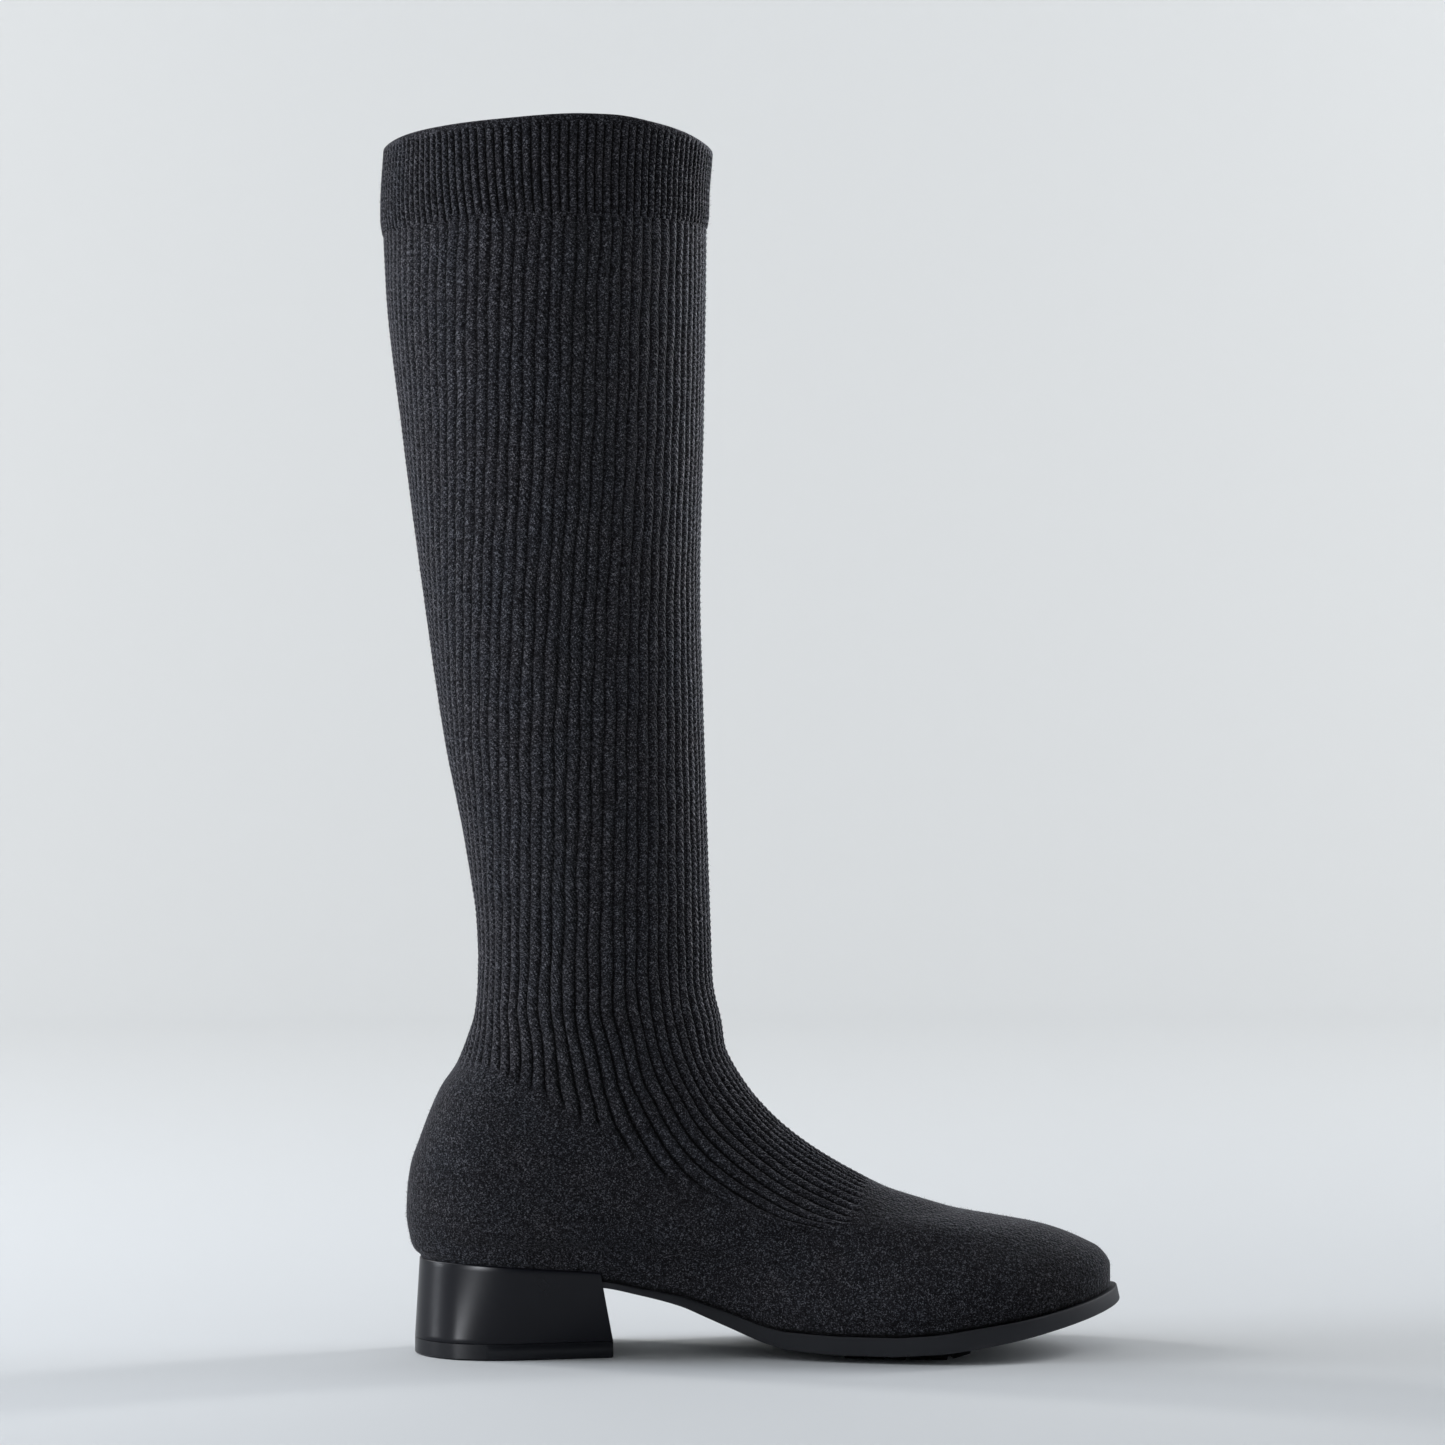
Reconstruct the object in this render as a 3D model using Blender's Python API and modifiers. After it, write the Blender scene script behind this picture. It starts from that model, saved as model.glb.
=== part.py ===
"""A left sweater boot: a knitted upper on a block heel with an outsole, tread pad, top lift and insole.

Everything is in metres. +X points to the toe, +Y to the wearer's outer side and +Z up. The boot
stands on the floor at z = 0. While it is built, x = 0 is the rearmost point of the foot.
"""
import math

import bmesh
import bpy

# Lengths along the foot
SOLE_LENGTH = 0.2628
UPPER_TOE_INSET = 0.0035
THROAT_X = 0.112
ANKLE_BACK_X = 0.0264
HEEL_BACK_TUCK = 0.0064
BREAST_TOP_X = 0.0705
BREAST_FLOOR_X = 0.0752

# Heights above the floor
BOOT_HEIGHT = 0.440
ANKLE_HEIGHT = 0.145
SEAT_HEIGHT = 0.0322
BALL_HEIGHT = 0.0097
TOE_HEIGHT = 0.0240
LOWEST_FLAT_RING_RISE = 0.0118

# Widths across the foot and leg
HEEL_WIDTH = 0.061
WAIST_WIDTH = 0.054
BALL_WIDTH = 0.084
ANKLE_WIDTH = 0.063
CALF_WIDTH = 0.0972

# Lean of the shaft: how far its back runs behind the ankle, and the hollow of its shin
SHAFT_LEAN = 0.0348
SHIN_HOLLOW = 0.0042

# The knit and its cuff
WALL = 0.0020
CUFF_STEP = 0.0008
CUFF_STEP_HEIGHT = 0.0016
CUFF_HEIGHT = 0.0300
CUFF_TILT = 0.0017
COLLAR_ARCH = 0.0067
FEATHER_BAND = 0.0034
BULGE_BAND = 0.0070
SIDE_BULGE = 0.0012

# Sole, pad and insole
GAP = 0.0003
SOLE_THICKNESS = 0.0067
SOLE_MARGIN = 0.0014
SOLE_FLARE = 0.0010
EDGE_ROUND = 0.0007
PAD_THICKNESS = 0.0025
PAD_INSET = 0.0125
PAD_BACK_X = 0.1590
PAD_FRONT_X = 0.2040
PAD_GROOVES = 5
PAD_GROOVE_WIDTH = 0.0022
PAD_GROOVE_DEPTH = 0.0011
INSOLE_THICKNESS = 0.0024
INSOLE_CLEARANCE = 0.0010

# Heel and top lift
HEEL_FLOOR_WIDTH = 0.0525
HEEL_BACK_TOP_X = 0.0050
HEEL_BACK_FLOOR_X = 0.0033
HEEL_CUP_RISE = 0.0030
HEEL_CUP_WALL = 0.0022
HEEL_CUP_FLARE = 0.0010
HEEL_ROUND_LENGTH = 0.0400
HEEL_BREAST_TUCK = 0.0075
LIFT_THICKNESS = 0.0060
LIFT_CHAMFER = 0.0006

# Shape shares
FEATHER_TUCK_SHARE = 0.87
LOW_BLEND_POWER = 2.2
CUFF_RISES = ((0.35, 0.5, 0.3), (0.70, 0.0, 0.65), (1.0, 0.0, 1.0))
GROOVE_SLOPES = (0.15, 0.85)
HEEL_ROUND_POWER = 2.0
HEEL_WAISTING = 0.35
BREAST_TUCK_LINE = ((0.20, 0.0), (1.0, 1.0))
HEEL_LEVELS = (0.0, 0.25, 0.5, 0.75, 1.0)
EDGE_ROUND_SHARE = 1 / 3

# Mesh density
AROUND = 56
HEEL_STEPS = 16

# Where the fullness columns lie, from the back of a ring to its front
STATIONS = (0.0, 0.10, 0.25, 0.42, 0.60, 0.75, 0.88, 1.0)
REAR_STATIONS = 3
FRONT_STATION = 4

# The top of the foot. Columns: rise from the toe edge to the ankle, reach from the throat to the toe
VAMP_LINE = (
    (0.000, 1.000),
    (0.050, 1.000),
    (0.107, 0.975),
    (0.141, 0.925),
    (0.172, 0.849),
    (0.201, 0.723),
    (0.227, 0.600),
    (0.279, 0.470),
    (0.347, 0.348),
    (0.443, 0.222),
    (0.521, 0.147),
    (0.603, 0.089),
    (0.678, 0.052),
    (0.752, 0.032),
    (0.909, 0.007),
    (1.000, 0.000),
)

# The back of the heel. Columns: rise from the seat to the ankle, share of the ankle's set-forward
HEEL_LINE = (
    (0.051, 0.115),
    (0.083, 0.062),
    (0.167, 0.008),
    (0.246, 0.020),
    (0.326, 0.069),
    (0.406, 0.185),
    (0.495, 0.327),
    (0.574, 0.481),
    (0.654, 0.708),
    (0.734, 0.846),
    (0.814, 0.950),
    (0.902, 0.990),
    (1.000, 1.000),
)

# The back of the shaft. Columns: rise from ankle to collar, share of the lean
SHAFT_BACK_LINE = (
    (0.00, 0.000),
    (0.05, 0.020),
    (0.09, 0.070),
    (0.15, 0.155),
    (0.27, 0.356),
    (0.46, 0.590),
    (0.65, 0.800),
    (0.83, 0.970),
    (0.93, 1.000),
    (1.00, 0.968),
)

# The front of the shaft. Columns: rise from ankle to collar, share of the shin's hollow
SHAFT_FRONT_LINE = (
    (0.00, 0.00),
    (0.12, 0.29),
    (0.30, 0.71),
    (0.46, 1.00),
    (0.65, 0.71),
    (0.86, 0.48),
    (0.94, 0.43),
    (1.00, 0.14),
)

# How the collar arches. Columns: share of the way from its back to its front, share of the arch
COLLAR_LINE = (
    (0.000, 0.00),
    (0.063, 0.24),
    (0.190, 0.46),
    (0.346, 0.66),
    (0.600, 0.98),
    (0.690, 1.00),
    (0.820, 0.77),
    (0.910, 0.50),
    (1.000, 0.00),
)

# How the leg widens. Columns: rise from ankle to collar, share of the way from ankle to calf width
SHAFT_WIDTH_LINE = (
    (0.00, 0.00),
    (0.15, 0.12),
    (0.32, 0.32),
    (0.53, 0.61),
    (0.70, 0.82),
    (0.86, 0.97),
    (1.00, 1.00),
)

# The feather line, heel to toe. Columns: share of the sole's length, height from ball (0) to seat (1)
WAIST_RISE = (
    (0.000, 1.000),
    (0.095, 0.973),
    (0.172, 0.928),
    (0.271, 0.842),
    (0.324, 0.715),
    (0.378, 0.579),
    (0.412, 0.452),
    (0.443, 0.326),
    (0.496, 0.104),
    (0.523, 0.041),
    (0.592, 0.000),
)

# The same line ahead of the ball. Columns: share of the sole's length, height from ball (0) to toe (1)
TOE_RISE = (
    (0.672, 0.000),
    (0.725, 0.077),
    (0.771, 0.203),
    (0.866, 0.448),
    (0.935, 0.692),
    (0.981, 0.902),
    (1.000, 1.000),
)

# The edge of the outsole. Columns: share of its length, share of its thickness, share of its margin
SOLE_EDGE = (
    (0.000, 0.33, 0.00),
    (0.270, 0.33, 0.00),
    (0.320, 0.37, -0.70),
    (0.380, 0.54, -1.10),
    (0.412, 0.69, -0.90),
    (0.443, 0.80, -0.40),
    (0.496, 0.90, 0.50),
    (0.523, 0.97, 0.80),
    (0.592, 1.00, 1.00),
    (0.700, 1.00, 1.00),
    (0.771, 1.08, 1.00),
    (0.824, 1.03, 1.10),
    (0.892, 0.93, 1.30),
    (0.958, 0.90, 1.70),
    (1.000, 0.90, 2.00),
)

# The tread pad under the forefoot. Columns: share of the sole's length, share of the pad's thickness
PAD_EDGE = (
    (0.560, 1.10),
    (0.706, 1.28),
    (0.745, 1.48),
    (0.790, 0.90),
    (0.850, 0.50),
)

# Fullness of the upper at each station: half the width there over that of an ellipse of the named
# width. The feather is the lower edge. The other rows rise from the lowest flat ring to the ankle.
FEATHER_INNER = (1.38, 1.27, 0.91, 0.83, 0.84, 1.125, 1.245, 1.25)
FEATHER_OUTER = (1.38, 1.285, 1.015, 1.13, 0.94, 1.085, 1.075, 1.07)
FOOT_FULLNESS = (
    # rise, inner side at the stations, outer side at the stations
    (
        0.000,
        (1.51, 1.44, 1.13, 1.03, 0.68, 0.82, 0.88, 0.86),
        (1.51, 1.44, 1.13, 1.16, 0.80, 0.82, 0.80, 0.74),
    ),
    (
        0.059,
        (1.48, 1.39, 1.15, 1.05, 0.70, 0.73, 0.76, 0.69),
        (1.48, 1.39, 1.15, 1.16, 0.76, 0.80, 0.75, 0.64),
    ),
    (
        0.139,
        (1.44, 1.37, 1.15, 1.11, 0.69, 0.67, 0.66, 0.59),
        (1.44, 1.37, 1.15, 1.14, 0.73, 0.73, 0.69, 0.59),
    ),
    (
        0.347,
        (1.38, 1.31, 1.12, 1.13, 0.68, 0.66, 0.62, 0.57),
        (1.38, 1.31, 1.12, 1.13, 0.69, 0.67, 0.63, 0.57),
    ),
    (
        0.535,
        (1.30, 1.23, 1.08, 1.14, 0.70, 0.67, 0.64, 0.61),
        (1.30, 1.23, 1.08, 1.15, 0.71, 0.68, 0.64, 0.61),
    ),
)
LEG_FULLNESS = (
    # rise, both sides at the stations, as shares of the ankle's width
    (0.792, (1.14, 1.11, 1.06, 1.03, 1.00, 0.95, 0.905, 0.87)),
    (1.000, (1.08, 1.06, 1.03, 1.00, 0.97, 0.94, 0.905, 0.89)),
)
SHAFT_FULLNESS = (1.03, 1.03, 1.02, 1.00, 0.985, 0.96, 0.93, 0.91)

# Ring levels: blends from the feather to the lowest flat ring, then rises to the ankle and the collar
LOW_BLENDS = (0.33, 0.66, 1.0)
FOOT_RISES = (0.03, 0.059, 0.094, 0.139, 0.198, 0.267, 0.347, 0.436, 0.535, 0.653, 0.792, 0.90)
SHAFT_RISES = (0.0, 0.08, 0.17, 0.26, 0.36, 0.46, 0.56, 0.66, 0.76, 0.84)

HALF = 0.5
UPPER_TOE_X = SOLE_LENGTH - UPPER_TOE_INSET
LOW_RING_HEIGHT = SEAT_HEIGHT + LOWEST_FLAT_RING_RISE
CUFF_BASE = BOOT_HEIGHT - CUFF_HEIGHT


def smooth(points, t):
    """Value at t of a smooth curve through (t, value) points that never overshoots them."""
    if t <= points[0][0]:
        return points[0][1]
    if t >= points[-1][0]:
        return points[-1][1]
    slopes = [(b[1] - a[1]) / (b[0] - a[0]) for a, b in zip(points, points[1:])]
    tangents = [slopes[0]]
    for before, after in zip(slopes, slopes[1:]):
        turning = before * after <= 0
        tangents.append(0.0 if turning else 2 * before * after / (before + after))
    tangents.append(slopes[-1])
    index = max(i for i, point in enumerate(points[:-1]) if point[0] <= t)
    low, high = points[index], points[index + 1]
    span = high[0] - low[0]
    s = (t - low[0]) / span
    value = low[1] * (1 + 2 * s) * (1 - s) ** 2 + high[1] * s * s * (3 - 2 * s)
    value += span * (tangents[index] * s * (1 - s) ** 2 - tangents[index + 1] * s * s * (1 - s))
    return value


def feather_height(x):
    """Height of the line where the upper meets the sole."""
    share = x / SOLE_LENGTH
    waist = smooth(WAIST_RISE, share) * (SEAT_HEIGHT - BALL_HEIGHT)
    toe = smooth(TOE_RISE, share) * (TOE_HEIGHT - BALL_HEIGHT)
    return BALL_HEIGHT + waist + toe


def sole_column(x, column):
    """Read one column of the outsole's edge at x."""
    return smooth([(row[0], row[column]) for row in SOLE_EDGE], x / SOLE_LENGTH)


def sole_underside(x):
    """Height of the outsole's underside."""
    return feather_height(x) - GAP - sole_column(x, 1) * SOLE_THICKNESS


def rise_between(low, high, z):
    """How far z has come from low to high."""
    return (z - low) / (high - low)


def front_x(z):
    """Front outline of the upper, from the toe over the vamp and up the shin."""
    if z <= ANKLE_HEIGHT:
        reach = smooth(VAMP_LINE, rise_between(TOE_HEIGHT, ANKLE_HEIGHT, z))
        return THROAT_X + reach * (UPPER_TOE_X - THROAT_X)
    return THROAT_X - SHIN_HOLLOW * smooth(SHAFT_FRONT_LINE, rise_between(ANKLE_HEIGHT, BOOT_HEIGHT, z))


def back_x(z):
    """Back outline of the upper, from the heel seat to the collar."""
    if z <= ANKLE_HEIGHT:
        band = rise_between(SEAT_HEIGHT, ANKLE_HEIGHT, SEAT_HEIGHT + FEATHER_BAND)
        tucked = HEEL_BACK_TUCK / ANKLE_BACK_X
        line = ((0.0, tucked), (band, tucked * FEATHER_TUCK_SHARE)) + HEEL_LINE
        return ANKLE_BACK_X * smooth(line, rise_between(SEAT_HEIGHT, ANKLE_HEIGHT, z))
    return ANKLE_BACK_X - SHAFT_LEAN * smooth(SHAFT_BACK_LINE, rise_between(ANKLE_HEIGHT, BOOT_HEIGHT, z))


def foot_units():
    """The named half-widths that rule the rear, waist and front stations of the foot."""
    units = [HEEL_WIDTH] * REAR_STATIONS + [WAIST_WIDTH] + [BALL_WIDTH] * (len(STATIONS) - FRONT_STATION)
    return [unit * HALF for unit in units]


def scaled(shares, units):
    """Shares turned into half-widths."""
    return [share * unit for share, unit in zip(shares, units)]


def feather_fullness(outer):
    """Half-widths at the stations of the lower edge."""
    return scaled(FEATHER_OUTER if outer else FEATHER_INNER, foot_units())


def fullness_at(z, outer):
    """Half-widths at the stations of a flat ring at height z."""
    if z > ANKLE_HEIGHT:
        spread = smooth(SHAFT_WIDTH_LINE, rise_between(ANKLE_HEIGHT, BOOT_HEIGHT, z))
        width = ANKLE_WIDTH + spread * (CALF_WIDTH - ANKLE_WIDTH)
        settle = min(1.0, rise_between(ANKLE_HEIGHT, BOOT_HEIGHT, z) / SHAFT_WIDTH_LINE[1][0])
        ankle = LEG_FULLNESS[-1][1]
        shares = [a + (b - a) * settle for a, b in zip(ankle, SHAFT_FULLNESS)]
        return [share * width * HALF for share in shares]
    rows = [(row[0], scaled(row[2] if outer else row[1], foot_units())) for row in FOOT_FULLNESS]
    rows += [(row[0], [share * ANKLE_WIDTH * HALF for share in row[1]]) for row in LEG_FULLNESS]
    rise = rise_between(LOW_RING_HEIGHT, ANKLE_HEIGHT, z)
    return [smooth([(row[0], row[1][i]) for row in rows], rise) for i in range(len(STATIONS))]


def ring(heights, fullness, extra=0.0):
    """One closed ring of points, from the back round the inner side to the front and home.

    heights gives z from x, fullness the half-widths at the stations on the inner and outer side,
    and extra moves the ring outwards.
    """
    back = back_x(heights(0.0)) - extra
    front = front_x(heights(UPPER_TOE_X)) + extra
    points = []
    for step in range(AROUND):
        angle = 2 * math.pi * step / AROUND
        u = (1 - math.cos(angle)) * HALF
        side = math.sin(angle)
        table = list(zip(STATIONS, fullness[1] if side < 0 else fullness[0]))
        x = back + u * (front - back)
        y = -side * (smooth(table, u) + extra)
        points.append((x, y, heights(x)))
    return points


def low_ring(blend, band):
    """A ring near the sole: blend is 0 on the feather line and 1 on the lowest flat ring."""
    def heights(x):
        base = feather_height(x) + band
        return base + (LOW_RING_HEIGHT - base) * blend

    weight = blend ** LOW_BLEND_POWER
    bulge = SIDE_BULGE * math.sin(math.pi * min(1.0, HALF * band / FEATHER_BAND - HALF + blend))
    fullness = []
    for outer in (False, True):
        pairs = zip(feather_fullness(outer), fullness_at(LOW_RING_HEIGHT, outer))
        fullness.append([a + (b - a) * weight + max(0.0, bulge) for a, b in pairs])
    return ring(heights, fullness)


def flat_ring(z, extra=0.0, tilt=0.0, arch=0.0):
    """A level ring of the foot or shaft, tilted up to the front and arched up at its sides if asked."""
    back = back_x(z)
    front = front_x(z)

    def heights(x):
        share = min(1.0, max(0.0, (x - back) / (front - back)))
        return z + tilt * (2 * share - 1) + arch * smooth(COLLAR_LINE, share)

    points = ring(lambda x: z, (fullness_at(z, False), fullness_at(z, True)), extra)
    return [(x, y, heights(x)) for x, y, flat in points]


def upper_rings():
    """All rings of the upper's outer face, feather to collar, and the wall's share at each."""
    thin = WALL / (WALL + CUFF_STEP)
    rings = [(low_ring(0.0, 0.0), thin), (low_ring(0.0, FEATHER_BAND), thin)]
    rings.append((low_ring(0.0, BULGE_BAND), thin))
    rings += [(low_ring(blend, BULGE_BAND), thin) for blend in LOW_BLENDS]
    for rise in FOOT_RISES:
        rings.append((flat_ring(LOW_RING_HEIGHT + rise * (ANKLE_HEIGHT - LOW_RING_HEIGHT)), thin))
    for rise in SHAFT_RISES:
        rings.append((flat_ring(ANKLE_HEIGHT + rise * (BOOT_HEIGHT - ANKLE_HEIGHT)), thin))
    rings.append((flat_ring(CUFF_BASE - CUFF_STEP_HEIGHT, 0.0, CUFF_TILT), thin))
    rings.append((flat_ring(CUFF_BASE, CUFF_STEP, CUFF_TILT), 1.0))
    for rise, tilted, arched in CUFF_RISES:
        level = CUFF_BASE + CUFF_HEIGHT * rise
        rings.append((flat_ring(level, CUFF_STEP, CUFF_TILT * tilted, COLLAR_ARCH * arched), 1.0))
    return rings


def outline(extra, back_extra=None, side_extra=None):
    """Plan outline of the feather line, moved outwards; side_extra may vary along x."""
    base = low_ring(0.0, 0.0)
    back, front = base[0][0], base[AROUND // 2][0]
    new_back = back - (extra if back_extra is None else back_extra)
    new_front = front + extra
    points = []
    for step, (x, y, z) in enumerate(base):
        angle = 2 * math.pi * step / AROUND
        new_x = new_back + (x - back) / (front - back) * (new_front - new_back)
        margin = extra if side_extra is None else side_extra(new_x)
        points.append((new_x, y - math.sin(angle) * margin))
    return points


def material(name, colour, roughness):
    """A plain Principled material."""
    made = bpy.data.materials.new(name)
    made.use_nodes = True
    shader = made.node_tree.nodes["Principled BSDF"]
    shader.inputs["Base Color"].default_value = (*colour, 1.0)
    shader.inputs["Roughness"].default_value = roughness
    shader.inputs["Metallic"].default_value = 0.0
    return made


def new_object(name, bm, finish, collection, parent):
    """Turn a bmesh into a placed object with its material."""
    bmesh.ops.recalc_face_normals(bm, faces=bm.faces)
    mesh = bpy.data.meshes.new(name)
    bm.to_mesh(mesh)
    bm.free()
    mesh.shade_smooth()
    mesh.set_sharp_from_angle(angle=math.radians(35))
    made = bpy.data.objects.new(name, mesh)
    made.data.materials.append(finish)
    collection.objects.link(made)
    made.parent = parent
    return made


def add_bands(bm, loops):
    """Quads between each loop and the next; the loops close on themselves."""
    rows = [[bm.verts.new(point) for point in loop] for loop in loops]
    for low, high in zip(rows, rows[1:]):
        for i in range(len(low)):
            j = (i + 1) % len(low)
            bm.faces.new((low[i], low[j], high[j], high[i]))
    return rows


def cap_across(bm, row, strips):
    """Close a loop that is paired left and right with strips across it."""
    count = len(row)
    for i in range(strips):
        corners = [row[i], row[i + 1], row[count - i - 1], row[(count - i) % count]]
        bm.faces.new(list(dict.fromkeys(corners)))


def layered(name, loops, finish, collection, parent, strips=AROUND // 2):
    """A closed solid from loops, bottom to top, with both ends capped across."""
    bm = bmesh.new()
    rows = add_bands(bm, loops)
    cap_across(bm, rows[0], strips)
    cap_across(bm, rows[-1], strips)
    return new_object(name, bm, finish, collection, parent)


def build_upper(finish, collection, parent):
    """The knitted shell: its outer face, thickened inwards, with the cuff's wall thicker."""
    rings = upper_rings()
    bm = bmesh.new()
    weights = bm.verts.layers.deform.verify()
    rows = add_bands(bm, [points for points, share in rings])
    for row, (points, share) in zip(rows, rings):
        for vertex in row:
            vertex[weights][0] = share
    upper = new_object("upper", bm, finish, collection, parent)
    upper.vertex_groups.new(name="wall")
    wall = upper.modifiers.new("Wall", "SOLIDIFY")
    wall.thickness = WALL + CUFF_STEP
    wall.offset = -1.0
    wall.vertex_group = "wall"
    wall.use_even_offset = True
    return upper


def build_outsole(finish, collection, parent):
    """The sole from heel seat to toe, its edge flared and rounded."""
    def loop(side_push, toe_push, height):
        points = outline(toe_push, 0.0, lambda x: SOLE_MARGIN * sole_column(x, 2) + side_push(x))
        return [(x, y, height(x)) for x, y in points]

    def ahead_of_cup(x):
        return smooth(((BREAST_TOP_X, 0.0), (PAD_BACK_X, 1.0)), x)

    def top(x):
        return feather_height(x) - GAP

    def drop(x):
        return min(EDGE_ROUND, sole_column(x, 1) * SOLE_THICKNESS * EDGE_ROUND_SHARE)

    toe_push = UPPER_TOE_INSET - SOLE_FLARE
    low = SOLE_FLARE - EDGE_ROUND
    loops = [
        loop(lambda x: low * ahead_of_cup(x), toe_push + low, sole_underside),
        loop(lambda x: SOLE_FLARE * ahead_of_cup(x), UPPER_TOE_INSET, lambda x: sole_underside(x) + drop(x)),
        loop(lambda x: 0.0, toe_push, lambda x: top(x) - drop(x)),
        loop(lambda x: -EDGE_ROUND * ahead_of_cup(x), toe_push - EDGE_ROUND, top),
    ]
    return layered("outsole", loops, finish, collection, parent)


def build_insole(finish, collection, parent):
    """The footbed inside the upper's wall, on the outsole."""
    points = outline(-WALL - INSOLE_CLEARANCE)
    bottom = [(x, y, feather_height(x)) for x, y in points]
    top = [(x, y, feather_height(x) + INSOLE_THICKNESS) for x, y in points]
    return layered("insole", [bottom, top], finish, collection, parent)


def pad_underside(x):
    """Height of the tread pad's underside: on the floor at the ball, rising to the toe."""
    thickness = PAD_THICKNESS * smooth(PAD_EDGE, x / SOLE_LENGTH)
    return max(0.0, sole_underside(x) - GAP - thickness)


def build_tread_pad(finish, collection, parent):
    """The inset pad under the forefoot, with grooves across it."""
    outer = outline(UPPER_TOE_INSET, 0.0, lambda x: SOLE_MARGIN * sole_column(x, 2) + SOLE_FLARE)
    half = AROUND // 2
    inner_side = [(x, -y) for x, y in outer[: half + 1]]
    outer_side = [(x, y) for x, y in [outer[0]] + outer[:half - 1:-1]]

    def half_width(side, x):
        return smooth(side, x) - PAD_INSET

    length = PAD_FRONT_X - PAD_BACK_X
    pitch = length / (PAD_GROOVES + 1)
    stops = []
    for groove in range(PAD_GROOVES + 1):
        land = PAD_BACK_X + groove * pitch
        half_groove = PAD_GROOVE_WIDTH * HALF
        start = land + (half_groove if groove else 0.0)
        end = land + pitch - half_groove if groove < PAD_GROOVES else PAD_FRONT_X
        middle = (start + end) * HALF
        stops += [(start, 0.0), (middle, 0.0), (end, 0.0)]
        if groove < PAD_GROOVES:
            stops += [(end + slope * PAD_GROOVE_WIDTH, PAD_GROOVE_DEPTH) for slope in GROOVE_SLOPES]
    bm = bmesh.new()
    rows = []
    for x, cut in stops:
        left = -half_width(inner_side, x)
        right = half_width(outer_side, x)
        low = pad_underside(x) + cut
        high = sole_underside(x) - GAP
        corners = ((x, left, low), (x, right, low), (x, right, high), (x, left, high))
        rows.append([bm.verts.new(corner) for corner in corners])
    for near, far in zip(rows, rows[1:]):
        for i in range(4):
            j = (i + 1) % 4
            bm.faces.new((near[i], near[j], far[j], far[i]))
    bm.faces.new(rows[0])
    bm.faces.new(rows[-1])
    return new_object("tread_pad", bm, finish, collection, parent)


def heel_loop(share, height, shrink=0.0):
    """A D-shaped loop of the heel, share 0 at the floor and 1 at the rim, round the back."""
    seat = outline(HEEL_CUP_WALL)
    half = AROUND // 2
    inner = [(x, -y) for x, y in seat[: half + 1]]
    outer = [(x, y) for x, y in [seat[0]] + seat[:half - 1:-1]]
    back = HEEL_BACK_FLOOR_X + (HEEL_BACK_TOP_X - HEEL_BACK_FLOOR_X) * share + shrink
    breast = BREAST_FLOOR_X + (BREAST_TOP_X - BREAST_FLOOR_X) * share - shrink
    waisting = share + HEEL_WAISTING * share * (1 - share)

    def side_point(step, side, tuck):
        travel = 1 - math.cos(HALF * math.pi * step / HEEL_STEPS)
        x = back + travel * (breast - back)
        round_part = min(1.0, travel * (breast - back) / HEEL_ROUND_LENGTH)
        rounding = (1 - (1 - round_part) ** HEEL_ROUND_POWER) ** (1 / HEEL_ROUND_POWER)
        floor_half = HEEL_FLOOR_WIDTH * HALF * rounding
        floor_half -= tuck * smooth(BREAST_TUCK_LINE, travel)
        seat_x = inner[0][0] + travel * (BREAST_TOP_X - inner[0][0])
        top_half = smooth(side, seat_x) if travel > 0 else 0.0
        return x, floor_half + (top_half - floor_half) * waisting - (shrink if travel > 0 else 0.0)

    near = [side_point(step, inner, HEEL_BREAST_TUCK) for step in range(HEEL_STEPS + 1)]
    far = [side_point(step, outer, 0.0) for step in range(HEEL_STEPS + 1)]
    points = [(x, -y) for x, y in near] + [(x, y) for x, y in reversed(far[1:])]
    return [(x, y, height(x)) for x, y in points]


def build_cup_cutter(collection, parent, finish):
    """The room that the heel's cup leaves for sole and upper, open over the breast."""
    def loop(push, lift):
        points = outline(push)
        return [(x, y, feather_height(x) + lift) for x, y in points]

    floor = -GAP - sole_column(0.0, 1) * SOLE_THICKNESS - GAP
    loops = [
        loop(GAP, floor),
        loop(GAP + HEEL_CUP_FLARE, HEEL_CUP_RISE),
        loop(GAP + HEEL_CUP_FLARE + HEEL_CUP_RISE, HEEL_CUP_RISE * 2 + WALL),
    ]
    cutter = layered("heel_cup_cutter", loops, finish, collection, parent)
    cutter.hide_render = True
    cutter.display_type = "WIRE"
    return cutter


def build_heel(finish, collection, parent, cutter):
    """The moulded block with its cupped rim."""
    base = LIFT_THICKNESS + GAP

    def level(share):
        return lambda x: base + (feather_height(x) + HEEL_CUP_RISE - base) * share

    loops = [heel_loop(share, level(share)) for share in HEEL_LEVELS]
    heel = layered("heel", loops, finish, collection, parent, HEEL_STEPS)
    cup = heel.modifiers.new("Cup", "BOOLEAN")
    cup.operation = "DIFFERENCE"
    cup.solver = "EXACT"
    cup.object = cutter
    return heel


def build_top_lift(finish, collection, parent):
    """The wearing layer under the heel."""
    loops = [
        heel_loop(0.0, lambda x: 0.0, LIFT_CHAMFER),
        heel_loop(0.0, lambda x: LIFT_CHAMFER),
        heel_loop(0.0, lambda x: LIFT_THICKNESS),
    ]
    return layered("top_lift", loops, finish, collection, parent, HEEL_STEPS)


def centre_on_floor(parent, objects):
    """Move the boot so that its origin is the middle of its box on the floor."""
    points = [vertex.co for item in objects for vertex in item.data.vertices]
    for axis in (0, 1):
        low = min(point[axis] for point in points)
        high = max(point[axis] for point in points)
        parent.location[axis] = -(low + high) * HALF


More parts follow.
